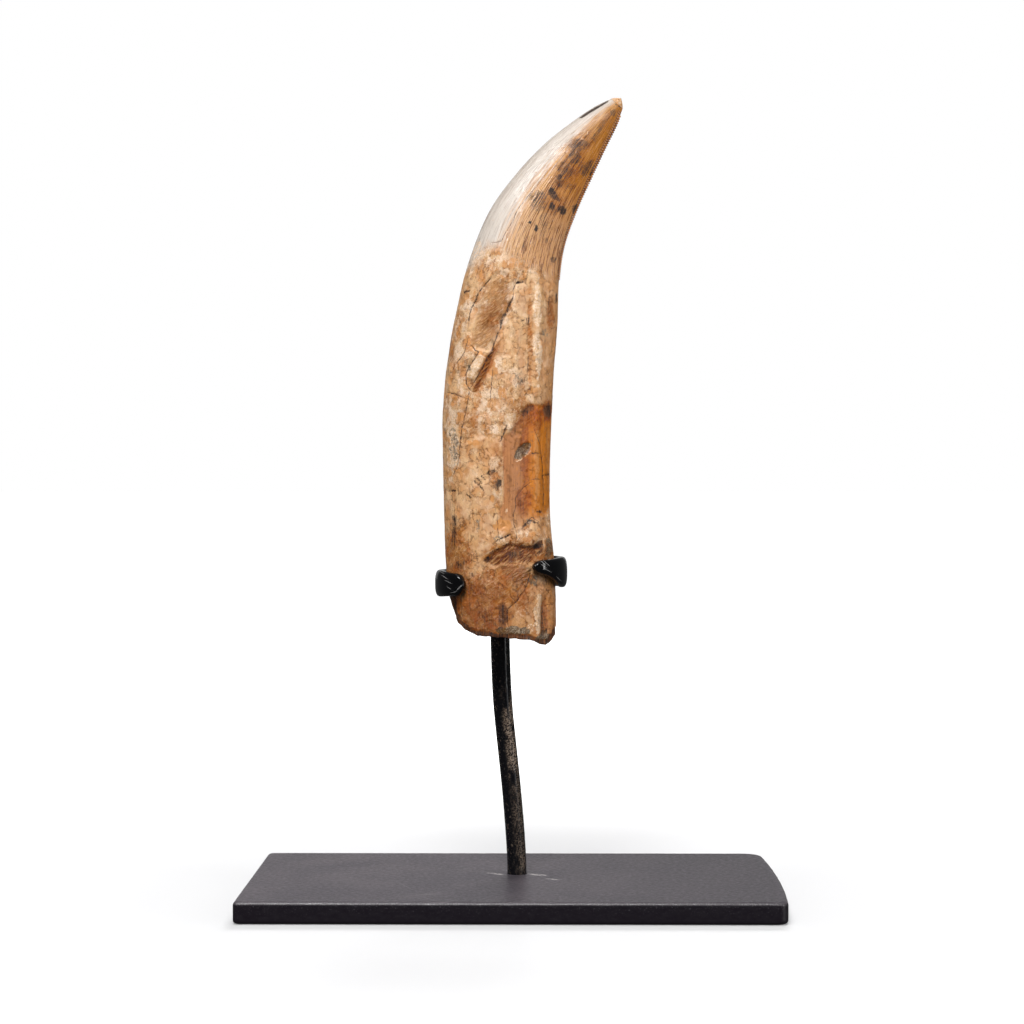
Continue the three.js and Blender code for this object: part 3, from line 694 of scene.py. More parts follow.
def labial_relief(points, places, coarse, fine, area):
    """Height in millimetres of the labial face over the smooth form, before its pores and cracks."""
    px, py = places.T
    root, amber = 1 - area["crown"], area["amber"]
    height = root * (1 - 0.7 * amber) * (0.13 * coarse + 0.07 * fine)
    height += area["crown"] * 0.03 * fractal(points, (1.0, 1.0, 6.0), 71)
    height += root * (1 - amber) * 0.16 * smooth(fractal(points, (1.9, 1.9, 3.4), 81), 0.02, 0.14)
    height -= 0.22 * amber
    height -= area["spall"] * (0.55 - 0.22 * fractal(points, (0.9, 0.9, 1.6), 91))
    height -= area["trough"] * 0.5
    height -= area["ledge"] * (0.75 - 0.15 * fine)
    height -= area["low_brown"] * (0.25 - 0.2 * coarse)
    height += area["flake"] * 0.3
    height -= area["chip"] * (CHIP["depth"] * area["chip_hollow"] - 0.12 * fine)
    height += 0.14 * area["lip"] - 0.14 * area["ring"] - 0.12 * area["facet"]
    for slab, inside in zip(SLABS, area["slabs"]):
        height += slab["rise"] * inside
    for across, half, rise, top, bottom, fade in UPRIGHT_RELIEF:
        height += rise * bell(px - across, half) * between(py, top, bottom, fade)
    height += LUMP["rise"] * (1 - smooth(blob(places, *LUMP["ellipse"]), 0.4, 1.2)) * (1 + coarse)
    return height


def tick_marks(places):
    """Short dark marks, from 0 to 1."""
    total = np.zeros(len(places))
    for tick in TICKS:
        distance, _ = line_distance(places, tick)
        total = np.maximum(total, 1 - smooth(np.abs(distance), 0.4, 1.3))
    return total


def labial_marks(points):
    """Relief in millimetres and the masks of the labial face."""
    coarse, fine, warp = face_noise(points, 0)
    places = photo_place(points)
    wiggle = places + 1.1 * np.stack([fractal(points, 1.1, 51), fractal(points, 1.1, 61)], axis=1)
    area = labial_areas(places, coarse, fine, warp)
    pores = smooth(fractal(points, (0.55, 0.55, 0.8), 101), 0.36, 0.6)
    pores *= (1 - area["crown"]) * (1 - area["amber"]) * (0.4 + 0.6 * smooth(places[:, 1], *PORE_LEVELS))
    fields, least, cuts = crack_fields(wiggle, CRACKS)
    ticks = tick_marks(wiggle)
    height = labial_relief(points, places, coarse, fine, area) - 0.16 * pores - cuts - 0.12 * ticks

    edges = coarse + 0.6 * fine
    # The pale mask also holds painted highlights: the ledge's edge and two rows of PALES along the ridge.
    pale = np.maximum.reduce([soft_blobs(places, PALES, edges), area["lip"], 0.8 * area["ledge_painted_highlight"]])
    for slab, inside in zip(SLABS, area["slabs"]):
        pale = pale * (1 - inside) + slab["pale"] * inside
    stain = np.maximum.reduce([
        soft_blobs(places, STAINS, coarse + 0.8 * fine), 0.75 * ticks, 0.42 * area["ring"],
        0.55 * area["ledge_line"], 0.8 * area["facet"]])
    grey = np.maximum.reduce([soft_blobs(places, GREYS, edges), area["chip"], area["facet"]])
    brown = np.maximum.reduce([
        # The trough's 0.9 here is its own brown together with painted shadow in the recess.
        0.6 * area["spall_brown"], 0.9 * area["trough"], area["ledge"], 0.6 * area["low_brown"]])
    return {
        "height": height, "crown": area["crown"], "amber": area["amber"], "stain": stain, "pale": pale,
        "orange": soft_blobs(places, ORANGES, edges), "shade": soft_blobs(places, SHADES, 0.6 * coarse),
        "crust": soft_blobs(places, CRUSTS, 0.8 * coarse), "grey": grey, "brown": brown, "pores": pores,
        "fields": fields, "least": least}


def lingual_marks(points):
    """The same for the lingual face: ordinary weathering, made up."""
    coarse, fine, warp = face_noise(points, 100)
    places = photo_place(points)
    crown = 1 - smooth(places[:, 1] + 8 * coarse, *BACK_CROWN_BASE)
    root = 1 - crown
    height = root * (0.13 * coarse + 0.07 * fine) + crown * 0.03 * fractal(points, (1.0, 1.0, 6.0), 151)
    height += root * 0.16 * smooth(fractal(points, (1.9, 1.9, 3.4), 161), 0.02, 0.14)
    brown = np.zeros(len(points))
    for spall in BACK_SPALLS:
        inside = within(places + 7 * warp, spall["outline"], -2.0, 0.8)
        height -= inside * spall["depth"] * (1 + 0.4 * fine)
        brown = np.maximum(brown, 0.62 * inside)
    pores = smooth(fractal(points, (0.55, 0.55, 0.8), 171), 0.36, 0.6) * root
    height -= 0.14 * pores
    fields, least, cuts = crack_fields(places + 2.0 * warp, BACK_CRACKS)
    height -= cuts
    amber = (1 - smooth(blob(places + 14 * warp, *BACK_AMBER), 0.9, 1.05)) * (1 - brown)
    height -= 0.2 * amber
    return {
        "height": height, "crown": crown, "amber": amber, "brown": brown, "pores": pores,
        "stain": soft_blobs(places, BACK_STAINS, coarse + 0.8 * fine),
        "shade": soft_blobs(places, BACK_SHADES, 0.6 * coarse),
        "crust": smooth(fractal(points, (7, 7, 11), 221), -0.3, 0.3),
        "pale": 0.5 * smooth(fractal(points, (3, 3, 7), 181), 0.1, 0.5),
        "orange": 0.7 * smooth(fractal(points, (3, 3, 6), 191), 0.1, 0.5),
        "grey": 0.5 * smooth(fractal(points, (2, 2, 4), 201), 0.25, 0.55),
        "fields": fields, "least": least}


# The masks that both faces have, how strongly the broken rim shows in some of them, and what each of the
# tooth's numbers is at the tip, on the broken end and on the denticles
MASKS = ("crown", "amber", "stain", "pale", "shade", "crust", "orange", "grey", "brown", "pores")
RIM_MASKS = {"shade": 1.25, "grey": 0.4, "stain": 0.5}
ENDS = {
    "crown": (1, 0, 1), "stain": (0.1, 0, 0), "pale": (0.55, 0, 0.3), "orange": (0, 0, 0.2),
    "crust": (0, 1, 0), "grey": (0, 0.7, 0), "brown": (0, 0.4, 0), "shade": (0.1, 0.6, 0.3),
    "distal": (0.5, 0.5, 0.75)}
ROOT_WIDTH = 26.0
TOOTH_LENGTH = 152.0


def denticle_block(foot, out, along):
    """Points and faces of one denticle: a rounded chisel that stands on the keel."""
    profile = [(-0.5, -DENTICLE["root"]), (-0.46, 0.1), (-0.26, 0.34), (0.04, 0.42), (0.3, 0.32), (0.46, 0.1),
               (0.5, -DENTICLE["root"])]
    across = np.cross(out, along)
    across /= np.linalg.norm(across)
    points = []
    for side in (-1, -0.55, 0.55, 1):
        for a, h in profile:
            rise = h if h < 0 else h * DENTICLE["rise"] * (1.0 if abs(side) < 1 else 0.6)
            aside = across * side * DENTICLE["width"] / 2
            points.append(foot + along * a * DENTICLE["length"] + out * rise + aside)
    count = len(profile)
    faces = [tuple(reversed(range(count))), tuple(range(3 * count, 4 * count))]
    for row in range(3):
        for i in range(count):
            j = (i + 1) % count
            faces.append((row * count + i, row * count + j, (row + 1) * count + j, (row + 1) * count + i))
    return points, faces


def denticles(carina, first):
    """All the denticles of one keel, with their points numbered from first."""
    points, faces = [], []
    u = np.linspace(carina["from"], carina["to"], KEEL_SAMPLES)

    def line_at(degrees):
        return tooth_point(u, np.full(KEEL_SAMPLES, degrees))

    line = line_at(carina["angle"])
    length = np.concatenate([[0.0], np.cumsum(np.linalg.norm(np.diff(line, axis=0), axis=1))])
    chord = line_at(carina["angle"] + KEEL_CHORD) - line_at(carina["angle"] - KEEL_CHORD)
    middle = (line_at(LINGUAL) + line_at(LABIAL)) / 2
    for k in range(1, int(length[-1] / DENTICLE["pitch"])):
        i = int(np.searchsorted(length, k * DENTICLE["pitch"]))
        along = line[i] - line[i - 1]
        along /= np.linalg.norm(along)
        out = np.cross(chord[i], along)
        out /= np.linalg.norm(out)
        if out @ (line[i] - middle[i]) < 0:
            out = -out
        made, made_faces = denticle_block(line[i], out, along)
        base = first + len(points)
        points.extend(made)
        faces.extend([tuple(base + n for n in face) for face in made_faces])
    return points, faces


def face_share(degrees):
    """1 on the labial face and 0 on the lingual one."""
    return smooth(-np.sin(np.radians(degrees)), -0.05, 0.22)


def keel_phase(grid, u):
    """For each ring the number of denticles passed along the distal keel."""
    keel_line = grid[:, 0]
    length = np.concatenate([[0.0], np.cumsum(np.linalg.norm(np.diff(keel_line, axis=0), axis=1))])
    return (length - np.interp(DISTAL_CARINA["from"], u[:, 0], length)) / DENTICLE["pitch"]


def tip_cap(last_ring):
    """Points of the rounded tip over the last ring, which end with the tip itself."""
    centre = last_ring.mean(axis=0)
    made = []
    for k in range(1, TIP_RINGS):
        turn = math.pi / 2 * k / TIP_RINGS
        push = 0.65 * (1 - math.cos(turn)) + 0.35 * math.sin(turn)
        ring = centre + (last_ring - centre) * math.cos(turn) + (TIP - centre) * push
        ring[:, 2] = np.minimum(ring[:, 2], TIP[2])
        made.extend(ring)
    return np.array(made + [TIP])


def broken_end(first_ring):
    """Points of the broken face and of the hollow in it, which end with its middle."""
    middle = np.array((*HOLLOW["at"], 0.0))
    made = []
    for k in range(1, CAP_RINGS):
        s = (k / CAP_RINGS) ** 0.9
        ring = first_ring * (1 - s) + middle * s
        gap = ring - middle
        reach = np.hypot(gap[:, 0] / HOLLOW["half_width"], gap[:, 1] / HOLLOW["half_depth"])
        rise = HOLLOW["rise"] * np.sqrt(np.clip(1 - reach ** 2, 0, 1))
        rough = 0.45 * fractal(ring * np.array((1, 1, 0.0)), 1.8, 211)
        ring[:, 2] = break_level(ring[:, 0]) + rise + np.abs(rough) * min(1.0, k / 2) + 0.1
        made.extend(ring)
    return np.array(made + [(middle[0], middle[1], break_level(middle[0]) + HOLLOW["rise"])])


def cap_faces(edge, first, rings, upward):
    """Faces from an edge of the grid over rings of points, numbered from first, to the point after them."""
    columns = len(edge)
    ring_one = list(range(first, first + columns))
    last = first + rings * columns
    quads = tube_faces(rings, columns, first)
    for i in range(columns):
        j = (i + 1) % columns
        quads.append((edge[i], edge[j], ring_one[j], ring_one[i]))
    if not upward:
        quads = [tuple(reversed(face)) for face in quads]
    return quads + fan_faces(last, list(range(last - columns, last)), upward)


def tooth_fields(flat, u, degrees):
    """Height of the relief and the masks, blended from the two faces, and each crack's distance."""
    front = labial_marks(flat)
    back = lingual_marks(flat)
    labial = face_share(degrees)
    blended = {key: labial * front[key] + (1 - labial) * back[key] for key in ("height",) + MASKS}
    height = blended.pop("height")
    edge_fade = smooth(1 - np.abs(np.cos(np.radians(degrees))), 0.0, 0.03)
    tip_fade = 1 - smooth(u, 0.93, 0.99)
    distal_keel = u > DISTAL_CARINA["from"] - 0.03
    near_distal = bell((degrees + 180) % 360 - 180, 9.0)
    height *= tip_fade * (0.35 + 0.65 * edge_fade) * np.where(distal_keel, 1 - near_distal, 1.0)
    # A dark strip along the distal keel, showing between the denticles: painted shade.
    shade_between_denticles = near_distal * distal_keel * (1 - smooth(u, 0.97, 0.99))
    blended["stain"] = np.maximum(blended["stain"], 0.7 * shade_between_denticles ** 2)
    from_break = np.abs(line_distance(flat[:, [0, 2]], BREAK_EDGE)[0])
    rim = 1 - smooth(from_break + 0.4 * value_noise(flat, 1.4, 7), 0.95, 1.35)
    height -= 0.22 * rim * (1 + 0.6 * value_noise(flat, 0.8, 8))
    for key, strength in RIM_MASKS.items():
        blended[key] = np.maximum(blended[key], strength * rim)
    nothing = np.full(len(flat), FAR)
    crack_gaps = [np.where(labial > 0.5, ahead, behind)
                  for ahead, behind in zip_longest(front["fields"], back["fields"], fillvalue=nothing)]
    near = 1 - smooth(np.where(labial > 0.5, front["least"], back["least"]), 1.7, 3.2)
    blended["near_crack"] = near * smooth(np.abs(labial - 0.5), 0.05, 0.3)
    return height, blended, crack_gaps


def tooth():
    angles = column_angles()
    columns = len(angles)
    start = break_start(angles)
    w = np.linspace(0.0, 1.0, RINGS)[:, None]
    u = start[None, :] + (1 - start[None, :]) * w
    degrees = np.broadcast_to(angles[None, :], u.shape)
    grid = tooth_point(u, degrees)
    flat = grid.reshape(-1, 3)
    levels = u.ravel()
    height, fields, crack_gaps = tooth_fields(flat, levels, degrees.ravel())
    share = ((1 + np.cos(np.radians(degrees))) / 2).ravel()
    from_keel = np.linalg.norm(grid - grid[:, :1], axis=-1).ravel()
    on_keel = between(levels, DISTAL_CARINA["from"], DISTAL_CARINA["to"], 0.01)
    fields["near_keel"] = (1 - smooth(from_keel, 0.8, 1.4)) * on_keel
    fields["keel"] = np.repeat(keel_phase(grid, u), columns)
    fields["distal"] = share

    points = flat + grid_normals(grid).reshape(-1, 3) * height[:, None]
    total = len(points)
    tip = tip_cap(points[-columns:])
    cap = broken_end(points[:columns])
    faces = tube_faces(RINGS, columns)
    faces += cap_faces(list(range(total - columns, total)), total, TIP_RINGS - 1, True)
    faces += cap_faces(list(range(columns)), total + len(tip), CAP_RINGS - 1, False)
    parts = [points, tip, cap]
    for carina in (DISTAL_CARINA, MESIAL_CARINA):
        made, made_faces = denticles(carina, sum(len(part) for part in parts))
        parts.append(np.array(made))
        faces += made_faces
    everything = np.concatenate(parts)
    piece = mesh_of("fossil_tooth", everything, faces)

    teeth_on_keels = len(everything) - total - len(tip) - len(cap)
    for key, values in fields.items():
        at_ends = np.repeat(ENDS.get(key, (0, 0, 0)), (len(tip), len(cap), teeth_on_keels))
        store(piece, key, np.concatenate([values, at_ends]))
    place = np.stack([(share - 0.5) * ROOT_WIDTH, flat[:, 1], levels * TOOTH_LENGTH], axis=1)
    store(piece, "place", np.concatenate([place, everything[total:]]))
    store_threes(piece, "cracks", crack_gaps, len(everything) - total)
    return piece


# Scratches of the claws in the photograph's pixels: line and half-width in pixels
CLAW_SCRATCHES = [
    (((443, 576), (446.5, 578.3)), 0.4), (((446, 580.8), (450.5, 583)), 0.35), (((448, 587.3),
    (450, 588.7)), 0.35),
    (((457.5, 589.5), (461.5, 585.5)), 0.6), (((441, 572), (443, 573)), 0.3), (((452, 592.5),
    (455.5, 591.8)), 0.3),
    (((541, 561), (545.5, 565)), 0.35), (((543.5, 560.5), (549, 565.5)), 0.3), (((541.5, 564.5),
    (546, 567.6)), 0.35),
    (((544.5, 568.5), (550, 571.5)), 0.35), (((557.5, 577.5), (560, 580)), 0.4), (((548.5, 559.5),
    (552.5, 558.3)), 0.6),
]


def normalise(vectors):
    return vectors / np.linalg.norm(vectors, axis=-1, keepdims=True)


def support_rod():
    line = spline(ROD_LINE, np.linspace(0.0, 1.0, ROD_RINGS))
    along = normalise(np.gradient(line, axis=0))
    side = normalise(np.cross(along, (0.0, 1.0, 0.0)))
    front = np.cross(side, along)
    height = line[:, 2]
    closing = np.clip((height - (height[-1] - ROD_END_ROUND)) / ROD_END_ROUND, 0, 1)
    radius = ROD_RADIUS + ROD_PAINT - ROD_END_ROUND * (1 - np.sqrt(1 - closing ** 2))
    turn = np.linspace(0.0, 2 * math.pi, ROD_FACETS, endpoint=False)
    ring = np.cos(turn)[None, :, None] * side[:, None] + np.sin(turn)[None, :, None] * front[:, None]
    points = (line[:, None] + radius[:, None, None] * ring).reshape(-1, 3)
    dents = 1 + 0.008 * value_noise(points, 4.0, 301)
    spine = np.repeat(line, ROD_FACETS, axis=0)
    points = spine + (points - spine) * np.minimum(dents, 1.0)[:, None]
    faces = tube_faces(ROD_RINGS, ROD_FACETS)
    count = len(points)
    faces += fan_faces(count, list(range(ROD_FACETS)), False)
    faces += fan_faces(count + 1, list(range(count - ROD_FACETS, count)), True)
    piece = mesh_of("bent_rod", np.concatenate([points, line[:1], line[-1:]]), faces)
    # Bare-steel specks on the side facing the right softbox, strongest part way up: partly wear and partly a
    # painted highlight.
    facing = (ring @ normalise(np.array(ROD_SHEEN_SIDE))).reshape(-1)
    level = np.repeat(height, ROD_FACETS)
    worn = smooth(facing, 0.55, 0.95) * (0.4 * between(level, 6, 52, 2) + 0.6 * between(level, 33, 52, 3))
    store(piece, "worn", np.concatenate([worn, (0.0, 0.0)]))
    return piece


def bisect(low, high, before):
    """Where before turns from true to false, for one number or an array of them."""
    low, high = np.array(low, float), np.array(high, float)
    for _ in range(40):
        middle = (low + high) / 2
        below = before(middle)
        low, high = np.where(below, middle, low), np.where(below, high, middle)
    return (low + high) / 2


def beside_root(level, degrees, distance):
    """A point at that level and distance from the root's surface, and the level direction away from it."""
    def surface(angle):
        zero = np.zeros_like(angle)
        u = bisect(zero, zero + 0.5, lambda at: tooth_point(at, angle)[..., 2] < level)
        return tooth_point(u, angle)
    degrees = np.asarray(degrees, float)
    along = surface(degrees + 2) - surface(degrees - 2)
    along[..., 2] = 0
    along = normalise(along)
    out = np.stack([along[..., 1], -along[..., 0], np.zeros_like(degrees)], axis=-1)
    point = surface(degrees)
    point[..., 2] = level
    return point + out * distance, out


def claw_span(sizes, distance):
    def line_x(angle):
        return beside_root(sizes["level"], angle, distance)[0][..., 0]
    side = sizes["side"]
    flank = ROD_LINE[-1][0] + side * (ROD_RADIUS + GAP)
    behind = (LINGUAL, MESIAL) if side < 0 else (0.0, LINGUAL)
    before = (MESIAL, LABIAL) if side < 0 else (LABIAL, FULL_TURN)
    start = bisect(*behind, lambda angle: line_x(angle) > flank)
    end = bisect(*before, lambda angle: line_x(angle) < sizes["tip_x"])
    return (start if side < 0 else start + FULL_TURN), end


def claw(name, sizes):
    distance = GAP + CLAW_THICKNESS / 2
    start, end = claw_span(sizes, distance)
    share = np.linspace(0.0, 1.0, CLAW_RINGS)
    point, out = beside_root(sizes["level"], start + (end - start) * share, distance)
    tapered = smooth(share, *CLAW_TAPER)
    past = np.clip((share - CLAW_END["from"]) / (1 - CLAW_END["from"]), 0, 1)
    closing = np.maximum(np.sqrt(1 - past ** 2), CLAW_END["smallest"])
    tall = (sizes["height"] + (sizes["tip_height"] - sizes["height"]) * tapered) * closing
    thick = CLAW_THICKNESS * (CLAW_END["flattest"] + (1 - CLAW_END["flattest"]) * closing)
    point[:, 2] = sizes["level"] + (sizes["tip_level"] - sizes["level"]) * tapered
    turn = sizes["side"] * np.linspace(0.0, 2 * math.pi, CLAW_FACETS, endpoint=False)
    c, s = np.cos(turn), np.sin(turn)
    reach = (np.abs(c) ** CLAW_SQUARENESS + np.abs(s) ** CLAW_SQUARENESS) ** (-1 / CLAW_SQUARENESS)
    across = (thick / 2)[:, None] * (reach * c)[None, :]
    up = (tall / 2)[:, None] * (reach * s)[None, :]
    grid = point[:, None] + out[:, None] * across[..., None]
    grid[..., 2] += up
    points = grid.reshape(-1, 3)
    spine = np.repeat(point, CLAW_FACETS, axis=0)
    uneven = 1 + 0.02 * value_noise(points, 3.0, 311) + 0.004 * value_noise(points, 0.9, 312)
    points = spine + (points - spine) * np.minimum(uneven, 1.0)[:, None]
    faces = tube_faces(CLAW_RINGS, CLAW_FACETS)
    count = len(points)
    faces += fan_faces(count, list(range(CLAW_FACETS)), False)
    faces += fan_faces(count + 1, list(range(count - CLAW_FACETS, count)), True)
    ends = np.stack([grid[0].mean(axis=0), grid[-1].mean(axis=0)])
    everything = np.concatenate([points, ends])
    piece = mesh_of(name, everything, faces)
    store_lines(piece, photo_place(everything), CLAW_SCRATCHES, everything[:, 1] < -8)
    return piece


def store_lines(piece, places, lines, where):
    """Signed distances to lines in half-widths, three to an attribute, and where any line is near."""
    least = np.full(len(places), np.inf)
    fields = []
    for line, half in lines:
        distance, _ = line_distance(places, line)
        fields.append(distance / half)
        least = np.minimum(least, np.abs(distance))
    store_threes(piece, "lines", fields)
    store(piece, "near_line", np.where(where, 1 - smooth(least, 1.2, 2.6), 0.0))


def plate_outline(inset):
    """The plate's outline, moved in by inset, as evenly spread points, as many each time."""
    half = PLATE_WIDTH / 2 - inset
    deep = PLATE_DEPTH / 2 - inset
    right = half - PLATE_RIGHT_INSET
    back_left = -half + PLATE_LEFT_TAPER
    bow = right + 2 * PLATE_RIGHT_BOW
    quarter = math.pi / 2

    def arc(name, x, y, start):
        radius = PLATE_CORNERS[name]
        turn = start + np.linspace(0, quarter, PLATE_CORNER_STEPS)
        middle_x = x - math.copysign(radius, x)
        middle_y = y - math.copysign(radius, y)
        return np.stack([middle_x + radius * np.cos(turn), middle_y + radius * np.sin(turn)], axis=1)

    front_right = arc("front_right", right, -deep, -quarter)
    back_right = arc("back_right", right, deep, 0)
    back_left_arc = arc("back_left", back_left, deep, quarter)
    front_left = arc("front_left", -half, -deep, 2 * quarter)
    a, b = front_right[-1], back_right[0]
    middle = np.array((bow, (PLATE_CORNERS["front_right"] - PLATE_CORNERS["back_right"]) / 2))

    def side(start, end, length, control=None):
        t = np.linspace(0, 1, max(3, int(length / PLATE_SIDE_STEP)))[1:-1, None]
        if control is None:
            return start + (end - start) * t
        return (1 - t) ** 2 * start + 2 * t * (1 - t) * control + t ** 2 * end

    return np.concatenate([
        front_right, side(a, b, PLATE_DEPTH, middle), back_right,
        side(back_right[-1], back_left_arc[0], PLATE_WIDTH), back_left_arc,
        side(back_left_arc[-1], front_left[0], PLATE_DEPTH), front_left,
        side(front_left[-1], front_right[0], PLATE_WIDTH)])


# Scratches and scrapes of the plate in the photograph's pixels: ends, half-width in millimetres and strength
PLATE_MARKS = [
    ((405, 896), (441, 893.5), 0.22, 0.5), ((398, 882), (413, 890), 0.2, 0.35), ((428, 867),
    (505, 874), 0.2, 0.3),
    ((485, 872.5), (507, 875), 0.9, 0.8), ((525, 873.5), (549, 876), 1.5, 0.7), ((544, 878.5),
    (562, 880), 0.8, 0.6),
    ((640, 893), (660, 891), 0.2, 0.3), ((330, 884), (345, 889), 0.18, 0.3),
]


def on_plate(pixel):
    """The point of the plate's top that shows at a pixel of the photograph."""
    right, up, forward = camera_axes()
    half = IMAGE / 2
    ray = forward + (right * (pixel[0] - half) - up * (pixel[1] - half)) / FOCAL_PX
    return CAMERA_AT + ray * (PLATE_THICKNESS - CAMERA_AT[2]) / ray[2]


def base_plate():
    """The plate as closed rings: out over the top, down the side, back underneath and up the hole."""
    outline = plate_outline(0.0)
    hole_at = np.array(ROD_LINE[0][:2])
    gap = outline - hole_at
    hole = hole_at + (ROD_RADIUS + GAP) * normalise(gap)
    edge = PLATE_EDGE_ROUND
    top, rings = PLATE_THICKNESS, []

    def ring(places, level):
        rings.append(np.column_stack([places, np.full(len(places), level)]))

    inner = plate_outline(edge)
    shares = np.concatenate([[0.0, 0.004], np.linspace(0.012, 0.96, 34), [0.985, 1.0]])
    for share in shares:
        ring(hole + (inner - hole) * share, top)
    turns = np.linspace(0, math.pi / 2, PLATE_EDGE_STEPS + 1)
    for turn in turns[1:]:
        ring(plate_outline(edge * (1 - math.sin(turn))), top - edge * (1 - math.cos(turn)))
    for level in np.linspace(top - edge, edge, 12)[1:-1]:
        ring(outline, level)
    for turn in turns:
        ring(plate_outline(edge * (1 - math.cos(turn))), edge * (1 - math.sin(turn)))
    for share in shares[::-1][1::3]:
        ring(hole + (inner - hole) * share, 0.0)
    ring(hole, 0.0)
    for level in np.linspace(0, top, 5)[1:-1]:
        ring(hole, level)
    points = np.concatenate(rings)
    worn = np.clip(fractal(points, 2.0, 401), -0.2, 1.0) * PLATE_WEAR
    from_side = np.abs(points[:, 2] - (top - 0.2))
    at_rim = np.concatenate([np.hypot(*(r[:, :2] - outline).T) for r in rings])
    rim = (1 - smooth(at_rim, 0.3, 1.2)) * (1 - smooth(from_side, 0.5, 1.0))
    inward = normalise(hole_at - points[:, :2])
    points[:, :2] += inward * (np.maximum(worn, 0) * rim)[:, None]
    points[:, 2] -= 0.5 * np.maximum(worn, 0) * rim
    return mesh_of("steel_plate", points, tube_faces(len(rings), len(outline), closed_rows=True))


# Colours, as linear albedo
CREAM = (0.62, 0.375, 0.185)
TAN = (0.50, 0.245, 0.10)
DISTAL_TAN = (0.47, 0.21, 0.07)
CROWN_AMBER = (0.43, 0.145, 0.006)
CROWN_MID = (0.50, 0.235, 0.06)
CROWN_BEIGE = (0.56, 0.50, 0.44)
AMBER_LEFT = (0.42, 0.17, 0.06)
AMBER_RIGHT = (0.54, 0.165, 0.005)
DEEP_BROWN = (0.15, 0.045, 0.012)
RED_BROWN = (0.25, 0.092, 0.024)
ORANGE = (0.56, 0.235, 0.06)
STAIN = (0.020, 0.010, 0.006)
CROWN_FOOT = (0.62, 0.42, 0.26)
ENAMEL_LINE = (0.60, 0.30, 0.085)
RUST = (0.42, 0.19, 0.06)
DARK_RUST = (0.075, 0.022, 0.008)
PALE = (0.82, 0.64, 0.48)
GREY_DARK = (0.045, 0.032, 0.020)
GREY_PALE = (0.29, 0.24, 0.17)
BURNT = (0.62, 0.40, 0.17)
CRACK = (0.03, 0.010, 0.005)
ROD_BLACK = (0.004, 0.004, 0.005)
# Bare steel of the rod's specks, which also paints a highlight along its right side.
BARE_STEEL_AND_SHEEN = (0.24, 0.18, 0.135)
CLAW_BLACK = (0.0015, 0.0015, 0.002)
CLAW_WORN = (0.03, 0.028, 0.028)
CLAW_SCRATCH = (0.24, 0.235, 0.23)
PLATE_PAINT = (0.052, 0.045, 0.053)
PLATE_MOTTLE = (0.070, 0.060, 0.068)
PLATE_BRUSHED = (0.16, 0.14, 0.15)
PLATE_SHADED = (0.030, 0.026, 0.031)
PLATE_SPOT = (0.02, 0.018, 0.02)
# A far darker copy of the plate's paint for its sides: painted shade.
PLATE_SIDE_PAINTED_SHADE = (0.005, 0.003, 0.006)
PLATE_CHIP = (0.09, 0.085, 0.095)
PLATE_SCRAPE = (0.42, 0.39, 0.38)
PLATE_FLECK = (0.10, 0.092, 0.097)
FLAKE_SCALE = 0.55


